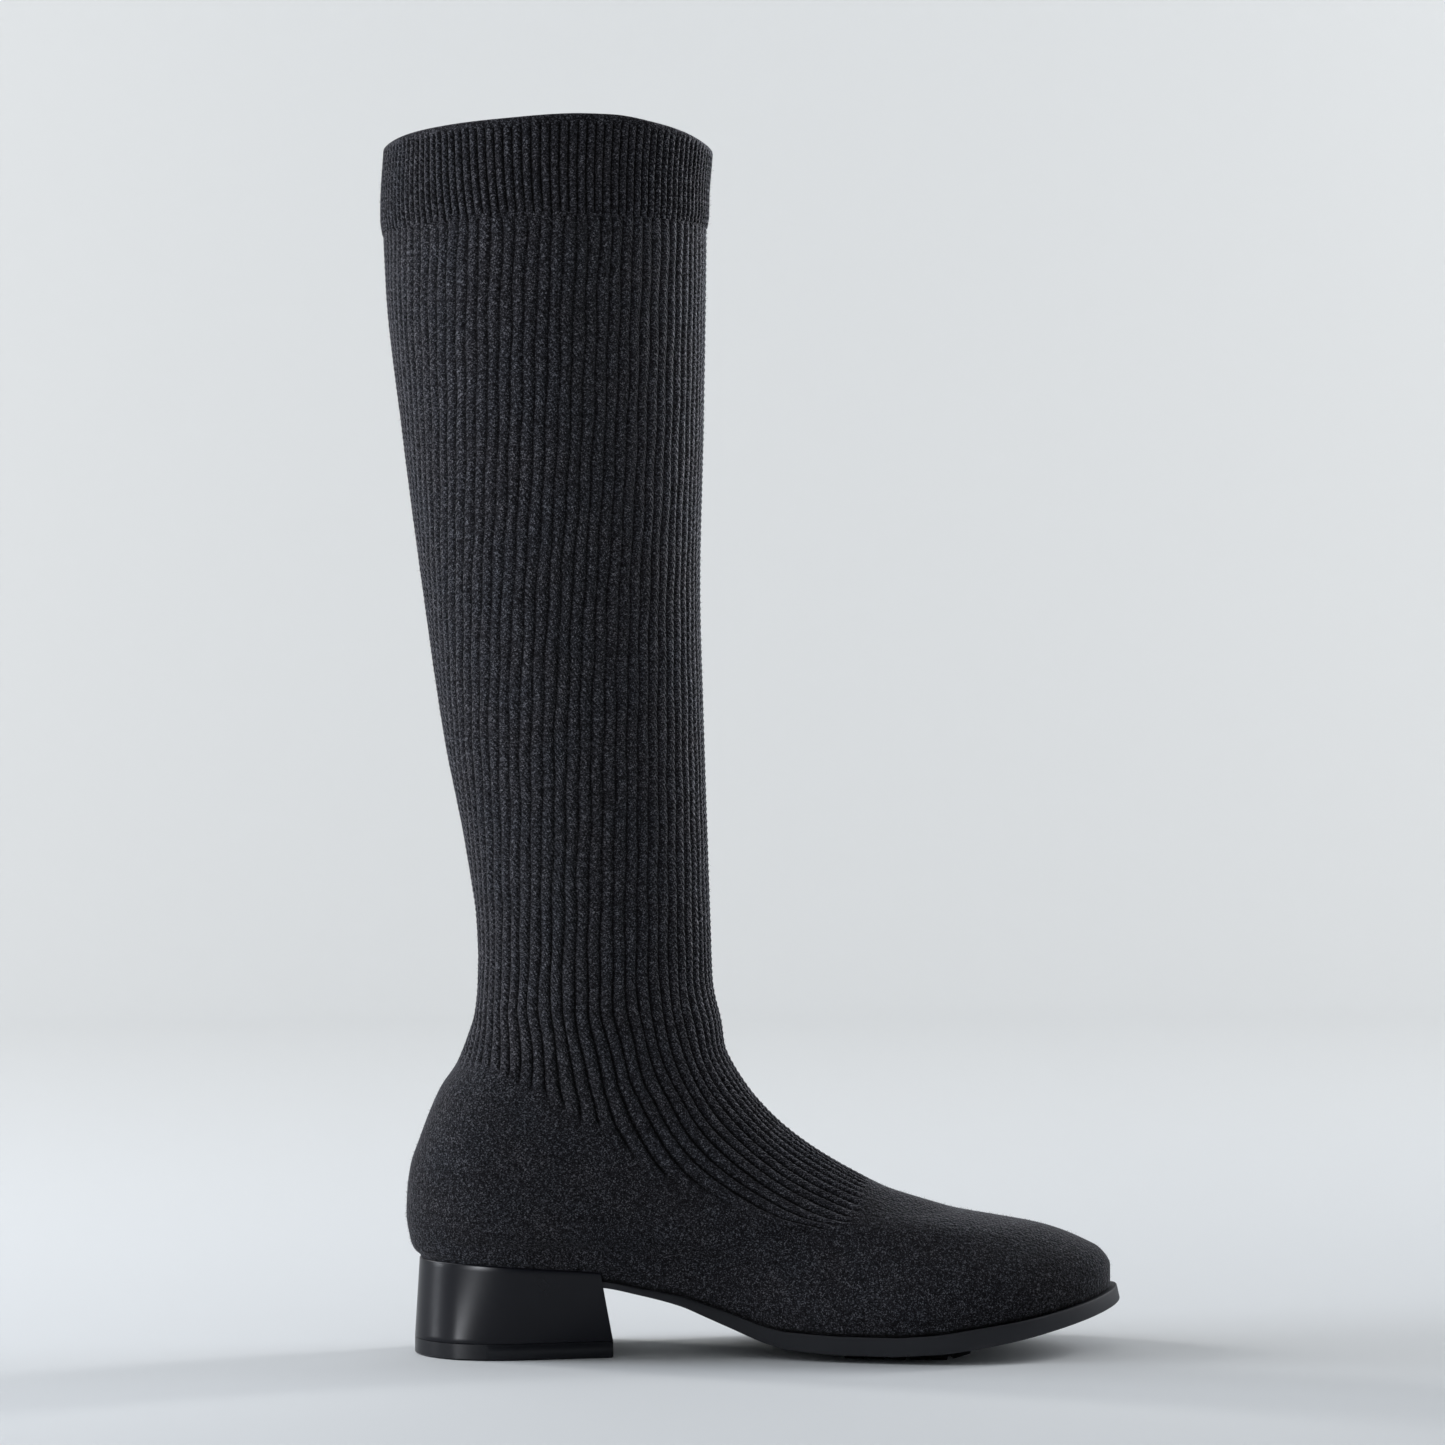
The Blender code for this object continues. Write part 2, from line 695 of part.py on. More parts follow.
def main():
    for item in list(bpy.data.objects):
        bpy.data.objects.remove(item)
    parts = bpy.data.collections.new("sweater_boot")
    cutters = bpy.data.collections.new("cutters")
    bpy.context.scene.collection.children.link(parts)
    bpy.context.scene.collection.children.link(cutters)
    boot = bpy.data.objects.new("boot_centre", None)
    parts.objects.link(boot)

    wool = material("charcoal_wool_knit", (0.055, 0.055, 0.065), 0.95)
    rubber = material("dark_rubber", (0.06, 0.062, 0.07), 0.7)
    tread = material("black_rubber", (0.02, 0.02, 0.022), 0.85)
    plastic = material("satin_black_plastic", (0.012, 0.012, 0.015), 0.35)
    lining = material("dark_footbed", (0.04, 0.04, 0.045), 0.9)

    cutter = build_cup_cutter(cutters, boot, plastic)
    made = [
        build_upper(wool, parts, boot),
        build_outsole(rubber, parts, boot),
        build_insole(lining, parts, boot),
        build_tread_pad(tread, parts, boot),
        build_heel(plastic, parts, boot, cutter),
        build_top_lift(tread, parts, boot),
    ]
    centre_on_floor(boot, made)


main()
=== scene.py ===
# %% [markdown]
# # A charcoal sweater boot
# A knitted wool boot on a low block heel stands empty on a pale studio floor. The solids give its shape.
# This script lays the knit over that shape, finishes the sole and heel, and sets the camera and light.

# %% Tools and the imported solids
import math

import bpy
import numpy as np
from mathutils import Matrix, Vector


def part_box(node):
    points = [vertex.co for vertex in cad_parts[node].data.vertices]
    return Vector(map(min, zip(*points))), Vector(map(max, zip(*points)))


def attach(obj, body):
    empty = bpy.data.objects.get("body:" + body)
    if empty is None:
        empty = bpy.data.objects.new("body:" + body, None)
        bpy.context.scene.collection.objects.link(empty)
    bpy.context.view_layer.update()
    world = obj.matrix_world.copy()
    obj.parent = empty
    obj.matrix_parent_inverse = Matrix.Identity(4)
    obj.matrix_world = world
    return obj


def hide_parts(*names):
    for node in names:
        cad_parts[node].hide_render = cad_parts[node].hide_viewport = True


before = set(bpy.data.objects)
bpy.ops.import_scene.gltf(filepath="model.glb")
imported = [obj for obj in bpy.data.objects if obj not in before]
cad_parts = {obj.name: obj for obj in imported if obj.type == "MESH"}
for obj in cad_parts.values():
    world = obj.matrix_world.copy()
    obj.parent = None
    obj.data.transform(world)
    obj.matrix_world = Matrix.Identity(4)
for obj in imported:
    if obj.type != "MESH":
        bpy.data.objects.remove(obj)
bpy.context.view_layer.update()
scene = bpy.context.scene

# %% [markdown]
# ## Small helpers
# Colours are written as the hex that the eye sees and turned linear once. A node is added with its
# settings and its links in one line, so a material reads from top to bottom.


# %% Colour and node helpers
def linear(code):
    """Linear RGBA of an sRGB hex code."""
    parts = [int(code[i : i + 2], 16) / 255 for i in (0, 2, 4)]
    return tuple(c / 12.92 if c <= 0.04045 else ((c + 0.055) / 1.055) ** 2.4 for c in parts) + (1.0,)


def add(tree, kind, settings=None, values=None, links=None):
    """One shader node: settings by attribute, values and links by socket name or number."""
    node = tree.nodes.new(kind)
    for name, value in (settings or {}).items():
        setattr(node, name, value)
    for socket, value in (values or {}).items():
        node.inputs[socket].default_value = value
    for socket, source in (links or {}).items():
        tree.links.new(source, node.inputs[socket])
    return node


def new_material(name):
    """A named material with its Principled shader."""
    made = bpy.data.materials.new(name)
    made.use_nodes = True
    return made, made.node_tree, made.node_tree.nodes["Principled BSDF"]


# %% [markdown]
# ## Camera
# The photograph is taken from the inner side, level with mid shin and with a long lens. The boot is
# turned 3.5 degrees so that a little more of its heel shows. The place comes from fitting the solids'
# outline to the photograph's.

# %% Camera
camera_data = bpy.data.cameras.new("camera")
LENS_MM, DISTANCE = 99.54, 1.4683
camera_data.lens = LENS_MM
camera_data.sensor_width = 36.0
camera_data.dof.use_dof = False
camera_data.clip_end = 50.0
camera = bpy.data.objects.new("camera", camera_data)
scene.collection.objects.link(camera)
scene.camera = camera
TURN = math.radians(-3.51)
AIM = Vector((-0.0108, 0.0, 0.2302))
camera.location = AIM + DISTANCE * Vector((math.sin(TURN), -math.cos(TURN), 0.0))
camera.rotation_euler = (math.radians(90), 0.0, TURN)
print("camera at", tuple(round(v, 4) for v in camera.location))

# %% [markdown]
# ## Backdrop
# A room of pale paper: a floor that bends up into a wall on all four sides with a wide radius, so no
# horizon shows from any side. A matt painted surface is plain diffuse white with a little blue in it.

# %% Backdrop
SWEEP_SIDE, SWEEP_FRONT, SWEEP_BACK = 3.0, 3.0, 1.6
SWEEP_BEND, SWEEP_TOP = 1.0, 4.0
BEND_STEPS = 32
bend_line = [(0.0, 0.0)]
for step in range(1, BEND_STEPS + 1):
    turn = math.radians(90) * step / BEND_STEPS
    bend_line.append((SWEEP_BEND * math.sin(turn), SWEEP_BEND * (1 - math.cos(turn))))
bend_line.append((SWEEP_BEND, SWEEP_TOP))
sweep_points = []
for out, z in bend_line:
    left, right = -SWEEP_SIDE - out, SWEEP_SIDE + out
    front, back = -SWEEP_FRONT - out, SWEEP_BACK + out
    sweep_points += [(left, front, z), (right, front, z), (right, back, z), (left, back, z)]
sweep_faces = [(0, 1, 2, 3)]
for ring in range(len(bend_line) - 1):
    for corner in range(4):
        after_corner = (corner + 1) % 4
        low, high = 4 * ring, 4 * ring + 4
        sweep_faces.append((low + corner, low + after_corner, high + after_corner, high + corner))
sweep_mesh = bpy.data.meshes.new("paper_sweep")
sweep_mesh.from_pydata(sweep_points, [], sweep_faces)
sweep_mesh.shade_smooth()
sweep_mesh.set_sharp_from_angle(angle=math.radians(4))
sweep = bpy.data.objects.new("paper_sweep", sweep_mesh)
scene.collection.objects.link(sweep)
paper, tree, shader = new_material("pale_studio_paper")
shader.inputs["Base Color"].default_value = linear("d3d6d8")
shader.inputs["Roughness"].default_value = 0.9
shader.inputs["Specular IOR Level"].default_value = 0.2
sweep_mesh.materials.append(paper)
print("sweep faces:", len(sweep_faces))

# %% [markdown]
# ## Light
# Two tall soft boxes stand left and right, a little behind the boot, and draw the rims along its back
# and shin. Two more wash the wall. Three small ones reach only the knit, and two strips near the floor
# reach only the heel and its lift, as a photographer would flag them: the strips draw the upright
# highlights on the heel's round back corner. A black cloth in front of the boot is seen by reflections
# only. It keeps the heel's flat side dark while the floor stays pale from every side.

# %% Lights
heel_lit = bpy.data.collections.new("lit_by_heel_strips")
knit_lit = bpy.data.collections.new("lit_by_knit_lights")


def soft_box(name, place, aim, size, power, tint, receivers, spread):
    """A rectangular area light turned to its aim. It lights everything, or only its receivers."""
    data = bpy.data.lights.new(name, "AREA")
    data.shape = "RECTANGLE"
    data.size, data.size_y = size
    data.energy = power
    data.spread = math.radians(spread)
    data.color = linear(tint)[:3]
    made = bpy.data.objects.new(name, data)
    made.location = place
    made.rotation_euler = (Vector(aim) - Vector(place)).to_track_quat("-Z", "Y").to_euler()
    scene.collection.objects.link(made)
    if receivers:
        made.light_linking.receiver_collection = receivers
    return made


# Each row: name, place, aim, width and height, power in watts, tint, receivers, spread in degrees.
LAMPS = (
    ("left_box", (-1.15, 0.05, 0.75), (0.0, 0.0, 0.32), (0.5, 1.2), 13.5, "f4f8ff", None, 180),
    ("right_box", (1.25, 0.30, 0.8), (0.0, 0.0, 0.36), (0.5, 1.2), 6.6, "f4f8ff", None, 180),
    ("wall_left", (-2.0, 0.9, 1.3), (0.3, 2.6, 1.05), (0.5, 1.2), 36.5, "fffdfb", None, 180),
    ("wall_right", (2.0, 0.9, 1.3), (-0.3, 2.6, 1.05), (0.5, 1.2), 31.5, "fffdfb", None, 180),
    ("knit_left", (-0.90, -0.28, 0.34), (-0.08, 0.0, 0.26), (0.3, 0.7), 1.7, "f4f8ff", knit_lit, 90),
    ("knit_front", (-0.28, -0.87, 0.44), (-0.08, 0.0, 0.36), (0.3, 0.4), 0.8, "f4f8ff", knit_lit, 90),
    ("knit_rim", (0.62, 0.52, 0.40), (-0.08, 0.0, 0.40), (0.3, 0.3), 2.9, "f4f8ff", knit_lit, 60),
    ("left_strip", (-0.954, -0.064, 0.06), (-0.105, -0.02, 0.02), (0.05, 0.1), 1.1, "f4f8ff", heel_lit, 180),
    ("heel_strip", (-0.485, -0.44, 0.045), (-0.105, -0.02, 0.02), (0.05, 0.08), 1.5, "f6f9ff", heel_lit, 180),
)
for lamp in LAMPS:
    soft_box(*lamp)
FLAG_HALF_WIDTH, FLAG_NEAR, FLAG_FAR, FLAG_TOP = 3.0, -0.21, -1.75, 3.4
ABOVE_PAPER = 0.0006
flag_line = ((FLAG_NEAR, ABOVE_PAPER), (FLAG_FAR, ABOVE_PAPER), (FLAG_FAR, FLAG_TOP))
flag_points = [(side, y, z) for y, z in flag_line for side in (-FLAG_HALF_WIDTH, FLAG_HALF_WIDTH)]
flag_mesh = bpy.data.meshes.new("black_cloth_flag")
flag_mesh.from_pydata(flag_points, [], [(0, 1, 3, 2), (2, 3, 5, 4)])
flag = bpy.data.objects.new("black_cloth_flag", flag_mesh)
scene.collection.objects.link(flag)
flag.visible_camera = False
flag.visible_shadow = False
flag.visible_diffuse = False
cloth, tree, shader = new_material("black_studio_cloth")
shader.inputs["Base Color"].default_value = linear("1a1a1a")
shader.inputs["Roughness"].default_value = 1.0
flag_mesh.materials.append(cloth)
world = bpy.data.worlds.new("studio_air")
scene.world = world
world.use_nodes = True
world.node_tree.nodes["Background"].inputs["Color"].default_value = linear("f2f3f4")
world.node_tree.nodes["Background"].inputs["Strength"].default_value = 0.42
scene.view_settings.view_transform = "Standard"
scene.view_settings.look = "None"

# %% [markdown]
# ## The last's shape, as the solids have it
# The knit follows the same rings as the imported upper: a curved feather line below, level rings
# above. Everything is in metres along the foot, from the rearmost point of the foot.

# %% Sizes of the last
SOLE_LENGTH = 0.2628
UPPER_TOE_X = 0.2593
THROAT_X = 0.112
ANKLE_BACK_X = 0.0264
HEEL_BACK_TUCK = 0.0064
BOOT_HEIGHT = 0.440
ANKLE_HEIGHT = 0.145
SEAT_HEIGHT = 0.0322
BALL_HEIGHT = 0.0097
TOE_HEIGHT = 0.0240
LOW_RING_HEIGHT = SEAT_HEIGHT + 0.0118
HEEL_WIDTH, WAIST_WIDTH, BALL_WIDTH = 0.061, 0.054, 0.084
ANKLE_WIDTH, CALF_WIDTH = 0.063, 0.0972
SHAFT_LEAN, SHIN_HOLLOW = 0.0348, 0.0042
WALL, CUFF_STEP = 0.0020, 0.0008
CUFF_HEIGHT, CUFF_TILT, COLLAR_ARCH = 0.0300, 0.0017, 0.0067
CUFF_BASE = BOOT_HEIGHT - CUFF_HEIGHT
FEATHER_BAND, BULGE_BAND, SIDE_BULGE = 0.0034, 0.0070, 0.0012
STATIONS = (0.0, 0.10, 0.25, 0.42, 0.60, 0.75, 0.88, 1.0)
BOOT_TO_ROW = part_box("upper")[0].x + SHAFT_LEAN - ANKLE_BACK_X + CUFF_STEP
print("boot x 0 lies at row x", round(BOOT_TO_ROW, 5))

# %% [markdown]
# ## Profile tables
# Each row is a share and the value there: outlines of vamp, heel back, shaft and shin, the feather
# line, and how full each ring is on its inner and outer side.

# %% Profile tables
VAMP_LINE = (
    (0.000, 1.000), (0.050, 1.000), (0.107, 0.975), (0.141, 0.925), (0.172, 0.849), (0.201, 0.723),
    (0.227, 0.600), (0.279, 0.470), (0.347, 0.348), (0.443, 0.222), (0.521, 0.147), (0.603, 0.089),
    (0.678, 0.052), (0.752, 0.032), (0.909, 0.007), (1.000, 0.000),
)
TUCKED = HEEL_BACK_TUCK / ANKLE_BACK_X
HEEL_LINE = (
    (0.000, TUCKED), (FEATHER_BAND / (ANKLE_HEIGHT - SEAT_HEIGHT), TUCKED * 0.87), (0.051, 0.115),
    (0.083, 0.062), (0.167, 0.008), (0.246, 0.020), (0.326, 0.069), (0.406, 0.185), (0.495, 0.327),
    (0.574, 0.481), (0.654, 0.708), (0.734, 0.846), (0.814, 0.950), (0.902, 0.990), (1.000, 1.000),
)
SHAFT_BACK_LINE = (
    (0.00, 0.000), (0.05, 0.020), (0.09, 0.070), (0.15, 0.155), (0.27, 0.356), (0.46, 0.590),
    (0.65, 0.800), (0.83, 0.970), (0.93, 1.000), (1.00, 0.968),
)
SHAFT_FRONT_LINE = (
    (0.00, 0.00), (0.12, 0.29), (0.30, 0.71), (0.46, 1.00), (0.65, 0.71), (0.86, 0.48), (0.94, 0.43),
    (1.00, 0.14),
)
COLLAR_LINE = (
    (0.000, 0.00), (0.063, 0.24), (0.190, 0.46), (0.346, 0.66), (0.600, 0.98), (0.690, 1.00), (0.820, 0.77),
    (0.910, 0.50), (1.000, 0.00),
)
SHAFT_WIDTH_LINE = (
    (0.00, 0.00), (0.15, 0.12), (0.32, 0.32), (0.53, 0.61), (0.70, 0.82), (0.86, 0.97), (1.00, 1.00),
)
WAIST_RISE = (
    (0.000, 1.000), (0.095, 0.973), (0.172, 0.928), (0.271, 0.842), (0.324, 0.715), (0.378, 0.579),
    (0.412, 0.452), (0.443, 0.326), (0.496, 0.104), (0.523, 0.041), (0.592, 0.000),
)
TOE_RISE = (
    (0.672, 0.000), (0.725, 0.077), (0.771, 0.203), (0.866, 0.448), (0.935, 0.692), (0.981, 0.902),
    (1.000, 1.000),
)
FEATHER_INNER = (1.38, 1.27, 0.91, 0.83, 0.84, 1.125, 1.245, 1.25)
FEATHER_OUTER = (1.38, 1.285, 1.015, 1.13, 0.94, 1.085, 1.075, 1.07)
FOOT_RISE_LEVELS = (0.000, 0.059, 0.139, 0.347, 0.535)
FOOT_INNER = (
    (1.51, 1.44, 1.13, 1.03, 0.68, 0.82, 0.88, 0.86), (1.48, 1.39, 1.15, 1.05, 0.70, 0.73, 0.76, 0.69),
    (1.44, 1.37, 1.15, 1.11, 0.69, 0.67, 0.66, 0.59), (1.38, 1.31, 1.12, 1.13, 0.68, 0.66, 0.62, 0.57),
    (1.30, 1.23, 1.08, 1.14, 0.70, 0.67, 0.64, 0.61),
)
FOOT_OUTER = (
    (1.51, 1.44, 1.13, 1.16, 0.80, 0.82, 0.80, 0.74), (1.48, 1.39, 1.15, 1.16, 0.76, 0.80, 0.75, 0.64),
    (1.44, 1.37, 1.15, 1.14, 0.73, 0.73, 0.69, 0.59), (1.38, 1.31, 1.12, 1.13, 0.69, 0.67, 0.63, 0.57),
    (1.30, 1.23, 1.08, 1.15, 0.71, 0.68, 0.64, 0.61),
)
LEG_RISE_LEVELS = (0.792, 1.000)
LEG_FULLNESS = (
    (1.14, 1.11, 1.06, 1.03, 1.00, 0.95, 0.905, 0.87), (1.08, 1.06, 1.03, 1.00, 0.97, 0.94, 0.905, 0.89),
)
SHAFT_FULLNESS = (1.03, 1.03, 1.02, 1.00, 0.985, 0.96, 0.93, 0.91)
print("profile tables ready")

# %% [markdown]
# ## Reading the tables
# The curves pass through every row of a table without overshooting it, as a pattern cutter's
# flexible ruler does.


# %% Curve and outline functions
def curve(points, t):
    """Values at t of a smooth curve through (t, value) rows; a value may be a row of lanes."""
    xs = np.array([p[0] for p in points], float)
    ys = np.array([p[1] for p in points], float)
    span = np.diff(xs).reshape(-1, *[1] * (ys.ndim - 1))
    slope = np.diff(ys, axis=0) / span
    turn, both = slope[:-1] * slope[1:], slope[:-1] + slope[1:]
    inner = np.where(turn > 0, 2 * turn / np.where(turn > 0, both, 1.0), 0.0)
    tangent = np.concatenate([slope[:1], inner, slope[-1:]])
    t = np.clip(t, xs[0], xs[-1])
    i = np.clip(np.searchsorted(xs, t, side="right") - 1, 0, len(xs) - 2)
    lane = () if ys.ndim == 1 else (np.arange(ys.shape[1]).reshape(-1, 1),)
    low, high = ys[(i, *lane)], ys[(i + 1, *lane)]
    start, end = tangent[(i, *lane)], tangent[(i + 1, *lane)]
    width = xs[i + 1] - xs[i]
    s = (t - xs[i]) / width
    value = low * (1 + 2 * s) * (1 - s) ** 2 + high * s * s * (3 - 2 * s)
    return value + width * (start * s * (1 - s) ** 2 - end * s * s * (1 - s))


def feather_height(x):
    """Height of the line where the knit meets the sole."""
    share = x / SOLE_LENGTH
    waist = curve(WAIST_RISE, share) * (SEAT_HEIGHT - BALL_HEIGHT)
    return BALL_HEIGHT + waist + curve(TOE_RISE, share) * (TOE_HEIGHT - BALL_HEIGHT)


def front_x(z):
    """The front outline, from the toe over the vamp and up the shin."""
    reach = curve(VAMP_LINE, (z - TOE_HEIGHT) / (ANKLE_HEIGHT - TOE_HEIGHT))
    shin = SHIN_HOLLOW * curve(SHAFT_FRONT_LINE, (z - ANKLE_HEIGHT) / (BOOT_HEIGHT - ANKLE_HEIGHT))
    return THROAT_X + reach * (UPPER_TOE_X - THROAT_X) - shin


def back_x(z):
    """The back outline, from the heel seat to the collar."""
    heel = curve(HEEL_LINE, (z - SEAT_HEIGHT) / (ANKLE_HEIGHT - SEAT_HEIGHT))
    lean = curve(SHAFT_BACK_LINE, (z - ANKLE_HEIGHT) / (BOOT_HEIGHT - ANKLE_HEIGHT))
    return ANKLE_BACK_X * heel - SHAFT_LEAN * lean


UNITS = np.array([HEEL_WIDTH] * 3 + [WAIST_WIDTH] + [BALL_WIDTH] * 4) / 2


def fullness_at(z, outer):
    """Half-widths at the stations, one column per height."""
    rise = (z - ANKLE_HEIGHT) / (BOOT_HEIGHT - ANKLE_HEIGHT)
    width = ANKLE_WIDTH + curve(SHAFT_WIDTH_LINE, rise) * (CALF_WIDTH - ANKLE_WIDTH)
    settle = np.clip(rise / SHAFT_WIDTH_LINE[1][0], 0.0, 1.0)
    ankle, calf = np.array(LEG_FULLNESS[-1])[:, None], np.array(SHAFT_FULLNESS)[:, None]
    shaft = (ankle + (calf - ankle) * settle) * width / 2
    foot_rows = np.array(FOOT_OUTER if outer else FOOT_INNER) * UNITS
    leg_rows = np.array(LEG_FULLNESS) * ANKLE_WIDTH / 2
    rows = list(zip(FOOT_RISE_LEVELS + LEG_RISE_LEVELS, np.concatenate([foot_rows, leg_rows])))
    foot_rise = (z - LOW_RING_HEIGHT) / (ANKLE_HEIGHT - LOW_RING_HEIGHT)
    foot = curve(rows, np.broadcast_to(foot_rise, (len(STATIONS), len(z))))
    return np.where(z > ANKLE_HEIGHT, shaft, foot)


print("front at ankle:", round(float(front_x(np.array(ANKLE_HEIGHT))), 4))

# %% [markdown]
# ## The skin
# One function gives a point of the boot's outer face from its level and its angle round the leg.
# Angle 0 is the front centre line and positive angles are the inner side. The level runs from the
# feather line (band), over the low rings (blend), to level rings (height).


# %% Skin function
def skin(band, blend, height, angle, extra=0.0, tilt=0.0, arch=0.0):
    """Points (rows, columns, 3) of the outer face; the first three are per row, angle per point."""
    rows = len(height)
    flat = height > LOW_RING_HEIGHT
    shape = angle.shape

    def heights(x):
        base = feather_height(x) + band[:, None]
        low = base + (LOW_RING_HEIGHT - base) * blend[:, None]
        return np.where(flat[:, None], height[:, None], low)

    back = back_x(heights(np.zeros((rows, 1)))) - extra
    front = front_x(heights(np.full((rows, 1), UPPER_TOE_X))) + extra
    u = (1 + np.cos(angle)) / 2
    x = back + u * (front - back)
    weight = blend**2.2
    swell = SIDE_BULGE * np.sin(math.pi * np.minimum(1.0, band / FEATHER_BAND / 2 - 0.5 + blend))
    level = np.maximum(height, LOW_RING_HEIGHT)
    sides = []
    for outer in (False, True):
        feather = (np.array(FEATHER_OUTER if outer else FEATHER_INNER) * UNITS)[:, None]
        full = fullness_at(level, outer)
        low = feather + (full - feather) * weight + np.maximum(0.0, swell)
        sides.append(curve(list(zip(STATIONS, np.where(flat, full, low))), u))
    half = np.where(angle > 0, sides[0], sides[1])
    y = -np.sin(angle) * (half + extra)
    z = np.broadcast_to(heights(x), shape).copy()
    share = np.clip((x - back) / (front - back), 0.0, 1.0)
    z += np.asarray(tilt) * (2 * share - 1) + np.asarray(arch) * curve(COLLAR_LINE, share)
    return np.stack([x + BOOT_TO_ROW, y, z], axis=-1)


def row_normals(points):
    """Outward normals of a grid whose rows go up and whose columns go from the outer to the inner side."""
    along = np.gradient(points, axis=1)
    up = np.gradient(points, axis=0)
    normal = np.cross(up, along)
    length = np.linalg.norm(normal, axis=-1, keepdims=True)
    return normal / np.maximum(length, 1e-12)


probe = skin(np.zeros(1), np.ones(1), np.array([0.3]), np.array([[0.0, math.pi / 2, math.pi]]))
print("probe at 0.3 m:", np.round(probe, 4).tolist())

# %% [markdown]
# ## Ribs of the shaft
# The shaft is a rib knit. On the real boot the ribs run straight up from the instep and stay equally
# wide, so fewer fit round the ankle than round the calf, and the spare ones end at the centre back.
# The number of ribs that would fit round the leg is a function of height, and the columns of the mesh
# follow the ribs.

# %% Rib count and wobble
RIB_COUNT_LINE = (
    (0.094, 65.0), (0.103, 63.2), (0.112, 61.4), (0.128, 58.4), (0.147, 58.9), (0.165, 60.0),
    (0.202, 64.2), (0.239, 68.4), (0.275, 72.5), (0.312, 76.6), (0.349, 79.8), (0.404, 83.4),
)
COLUMNS_PER_RIB = 6
WIDEST_HALF = 42.0


def rib_angles(height, ribs):
    """Angle round the leg of each rib number at each height, stopped at the centre back."""
    count = curve(RIB_COUNT_LINE, height)[:, None]
    level = height[:, None]
    wander = 0.05 * np.sin(level * 210 + ribs * 0.9) + 0.04 * np.sin(level * 95 - ribs * 2.1)
    return np.clip(2 * math.pi * (ribs + wander) / count, -math.pi, math.pi)


rib_numbers = np.arange(-WIDEST_HALF, WIDEST_HALF + 1e-6, 1 / COLUMNS_PER_RIB)[None, :]
print("columns:", rib_numbers.size)

# %% [markdown]
# ## Where the ribs stop
# Heel, foot side and toe are plain knit. The line between starts at the back of the heel under the
# ankle, falls along the foot's side and turns up over the vamp. It is written here in side view.

# %% Rib panel
PANEL_LOWER = (
    (0.000, 0.1085), (0.020, 0.1069), (0.032, 0.1046), (0.043, 0.0997), (0.056, 0.0925), (0.066, 0.0857),
    (0.074, 0.0831), (0.080, 0.0763), (0.086, 0.0709), (0.097, 0.0648), (0.109, 0.0608), (0.1205, 0.0543),
    (0.131, 0.0525), (0.1385, 0.0482), (0.147, 0.0461),
)
PANEL_FRONT = (
    (0.040, 0.140), (0.0461, 0.147), (0.0475, 0.155), (0.0506, 0.160), (0.0542, 0.164), (0.060, 0.166),
    (0.0628, 0.1687), (0.070, 0.172),
)


def ribbed_share(points, fade=0.0022):
    """1 on the ribbed panel, 0 on plain knit, with a short fade between."""
    x, z = points[..., 0] - BOOT_TO_ROW, points[..., 2]
    above = (z - curve(PANEL_LOWER, x)) / fade
    behind = (curve(PANEL_FRONT, z) - x) / fade
    inside = np.minimum(above, np.where(z < 0.09, behind, above))
    return np.clip(0.5 + inside / 2, 0.0, 1.0)


print("panel tables:", len(PANEL_LOWER), len(PANEL_FRONT))

# %% [markdown]
# ## Soft creases
# The knit is stuffed and smooth, yet it gives a little where the shin bends into the instep, over the
# ankle bone and under the cuff. Each crease is a soft trough or ridge at a place on the boot: x, y and z
# of its middle, its reach along each, and how far it goes in or out.

# %% Creases
CREASES = (
    (0.106, -0.020, 0.137, 0.016, 0.03, 0.006, -0.0005), (0.112, -0.018, 0.122, 0.018, 0.03, 0.005, 0.0004),
    (0.116, -0.018, 0.110, 0.018, 0.03, 0.005, -0.0005), (0.058, -0.032, 0.132, 0.014, 0.03, 0.012, 0.0006),
    (0.040, -0.028, 0.118, 0.014, 0.03, 0.007, -0.0005), (0.030, -0.030, 0.160, 0.012, 0.03, 0.010, 0.0004),
    (0.036, -0.034, 0.205, 0.014, 0.03, 0.016, -0.0004), (0.060, -0.040, 0.260, 0.012, 0.03, 0.030, -0.0005),
    (0.090, -0.038, 0.300, 0.012, 0.03, 0.030, 0.0004), (0.055, -0.046, 0.385, 0.020, 0.03, 0.012, -0.0004),
    (0.075, -0.046, 0.340, 0.010, 0.03, 0.024, -0.0004), (0.196, -0.010, 0.056, 0.012, 0.04, 0.008, 0.0005),
    (0.178, -0.010, 0.062, 0.008, 0.04, 0.008, -0.0005), (0.150, -0.030, 0.040, 0.018, 0.03, 0.006, -0.0004),
    (0.106, 0.020, 0.131, 0.016, 0.03, 0.006, -0.0005), (0.050, 0.032, 0.127, 0.014, 0.03, 0.012, 0.0006),
    (0.066, 0.040, 0.280, 0.014, 0.03, 0.030, -0.0005), (0.116, 0.018, 0.112, 0.018, 0.03, 0.005, -0.0005),
)


def crease_push(points):
    """How far the creases push each point out."""
    push = np.zeros(points.shape[:-1])
    for x, y, z, rx, ry, rz, depth in CREASES:
        away = ((points[..., 0] - BOOT_TO_ROW - x) / rx) ** 2
        away += ((points[..., 1] - y) / ry) ** 2 + ((points[..., 2] - z) / rz) ** 2
        push += depth * np.exp(-away)
    return push


print("creases:", len(CREASES))

# %% [markdown]
# ## Meshes from arrays
# Every made piece is a set of points and quads. Quads whose corners fall together at the centre back are
# left out. Knit pieces keep what the wool material asks for at each point: place across the ribs,
# distance along the rib in millimetres, how ribbed it is and how much painted groove shade darkens it.


# %% Mesh helpers
LIT_BY_SLOT = {"knit": knit_lit, "heel_plastic": heel_lit, "lift_rubber": heel_lit}


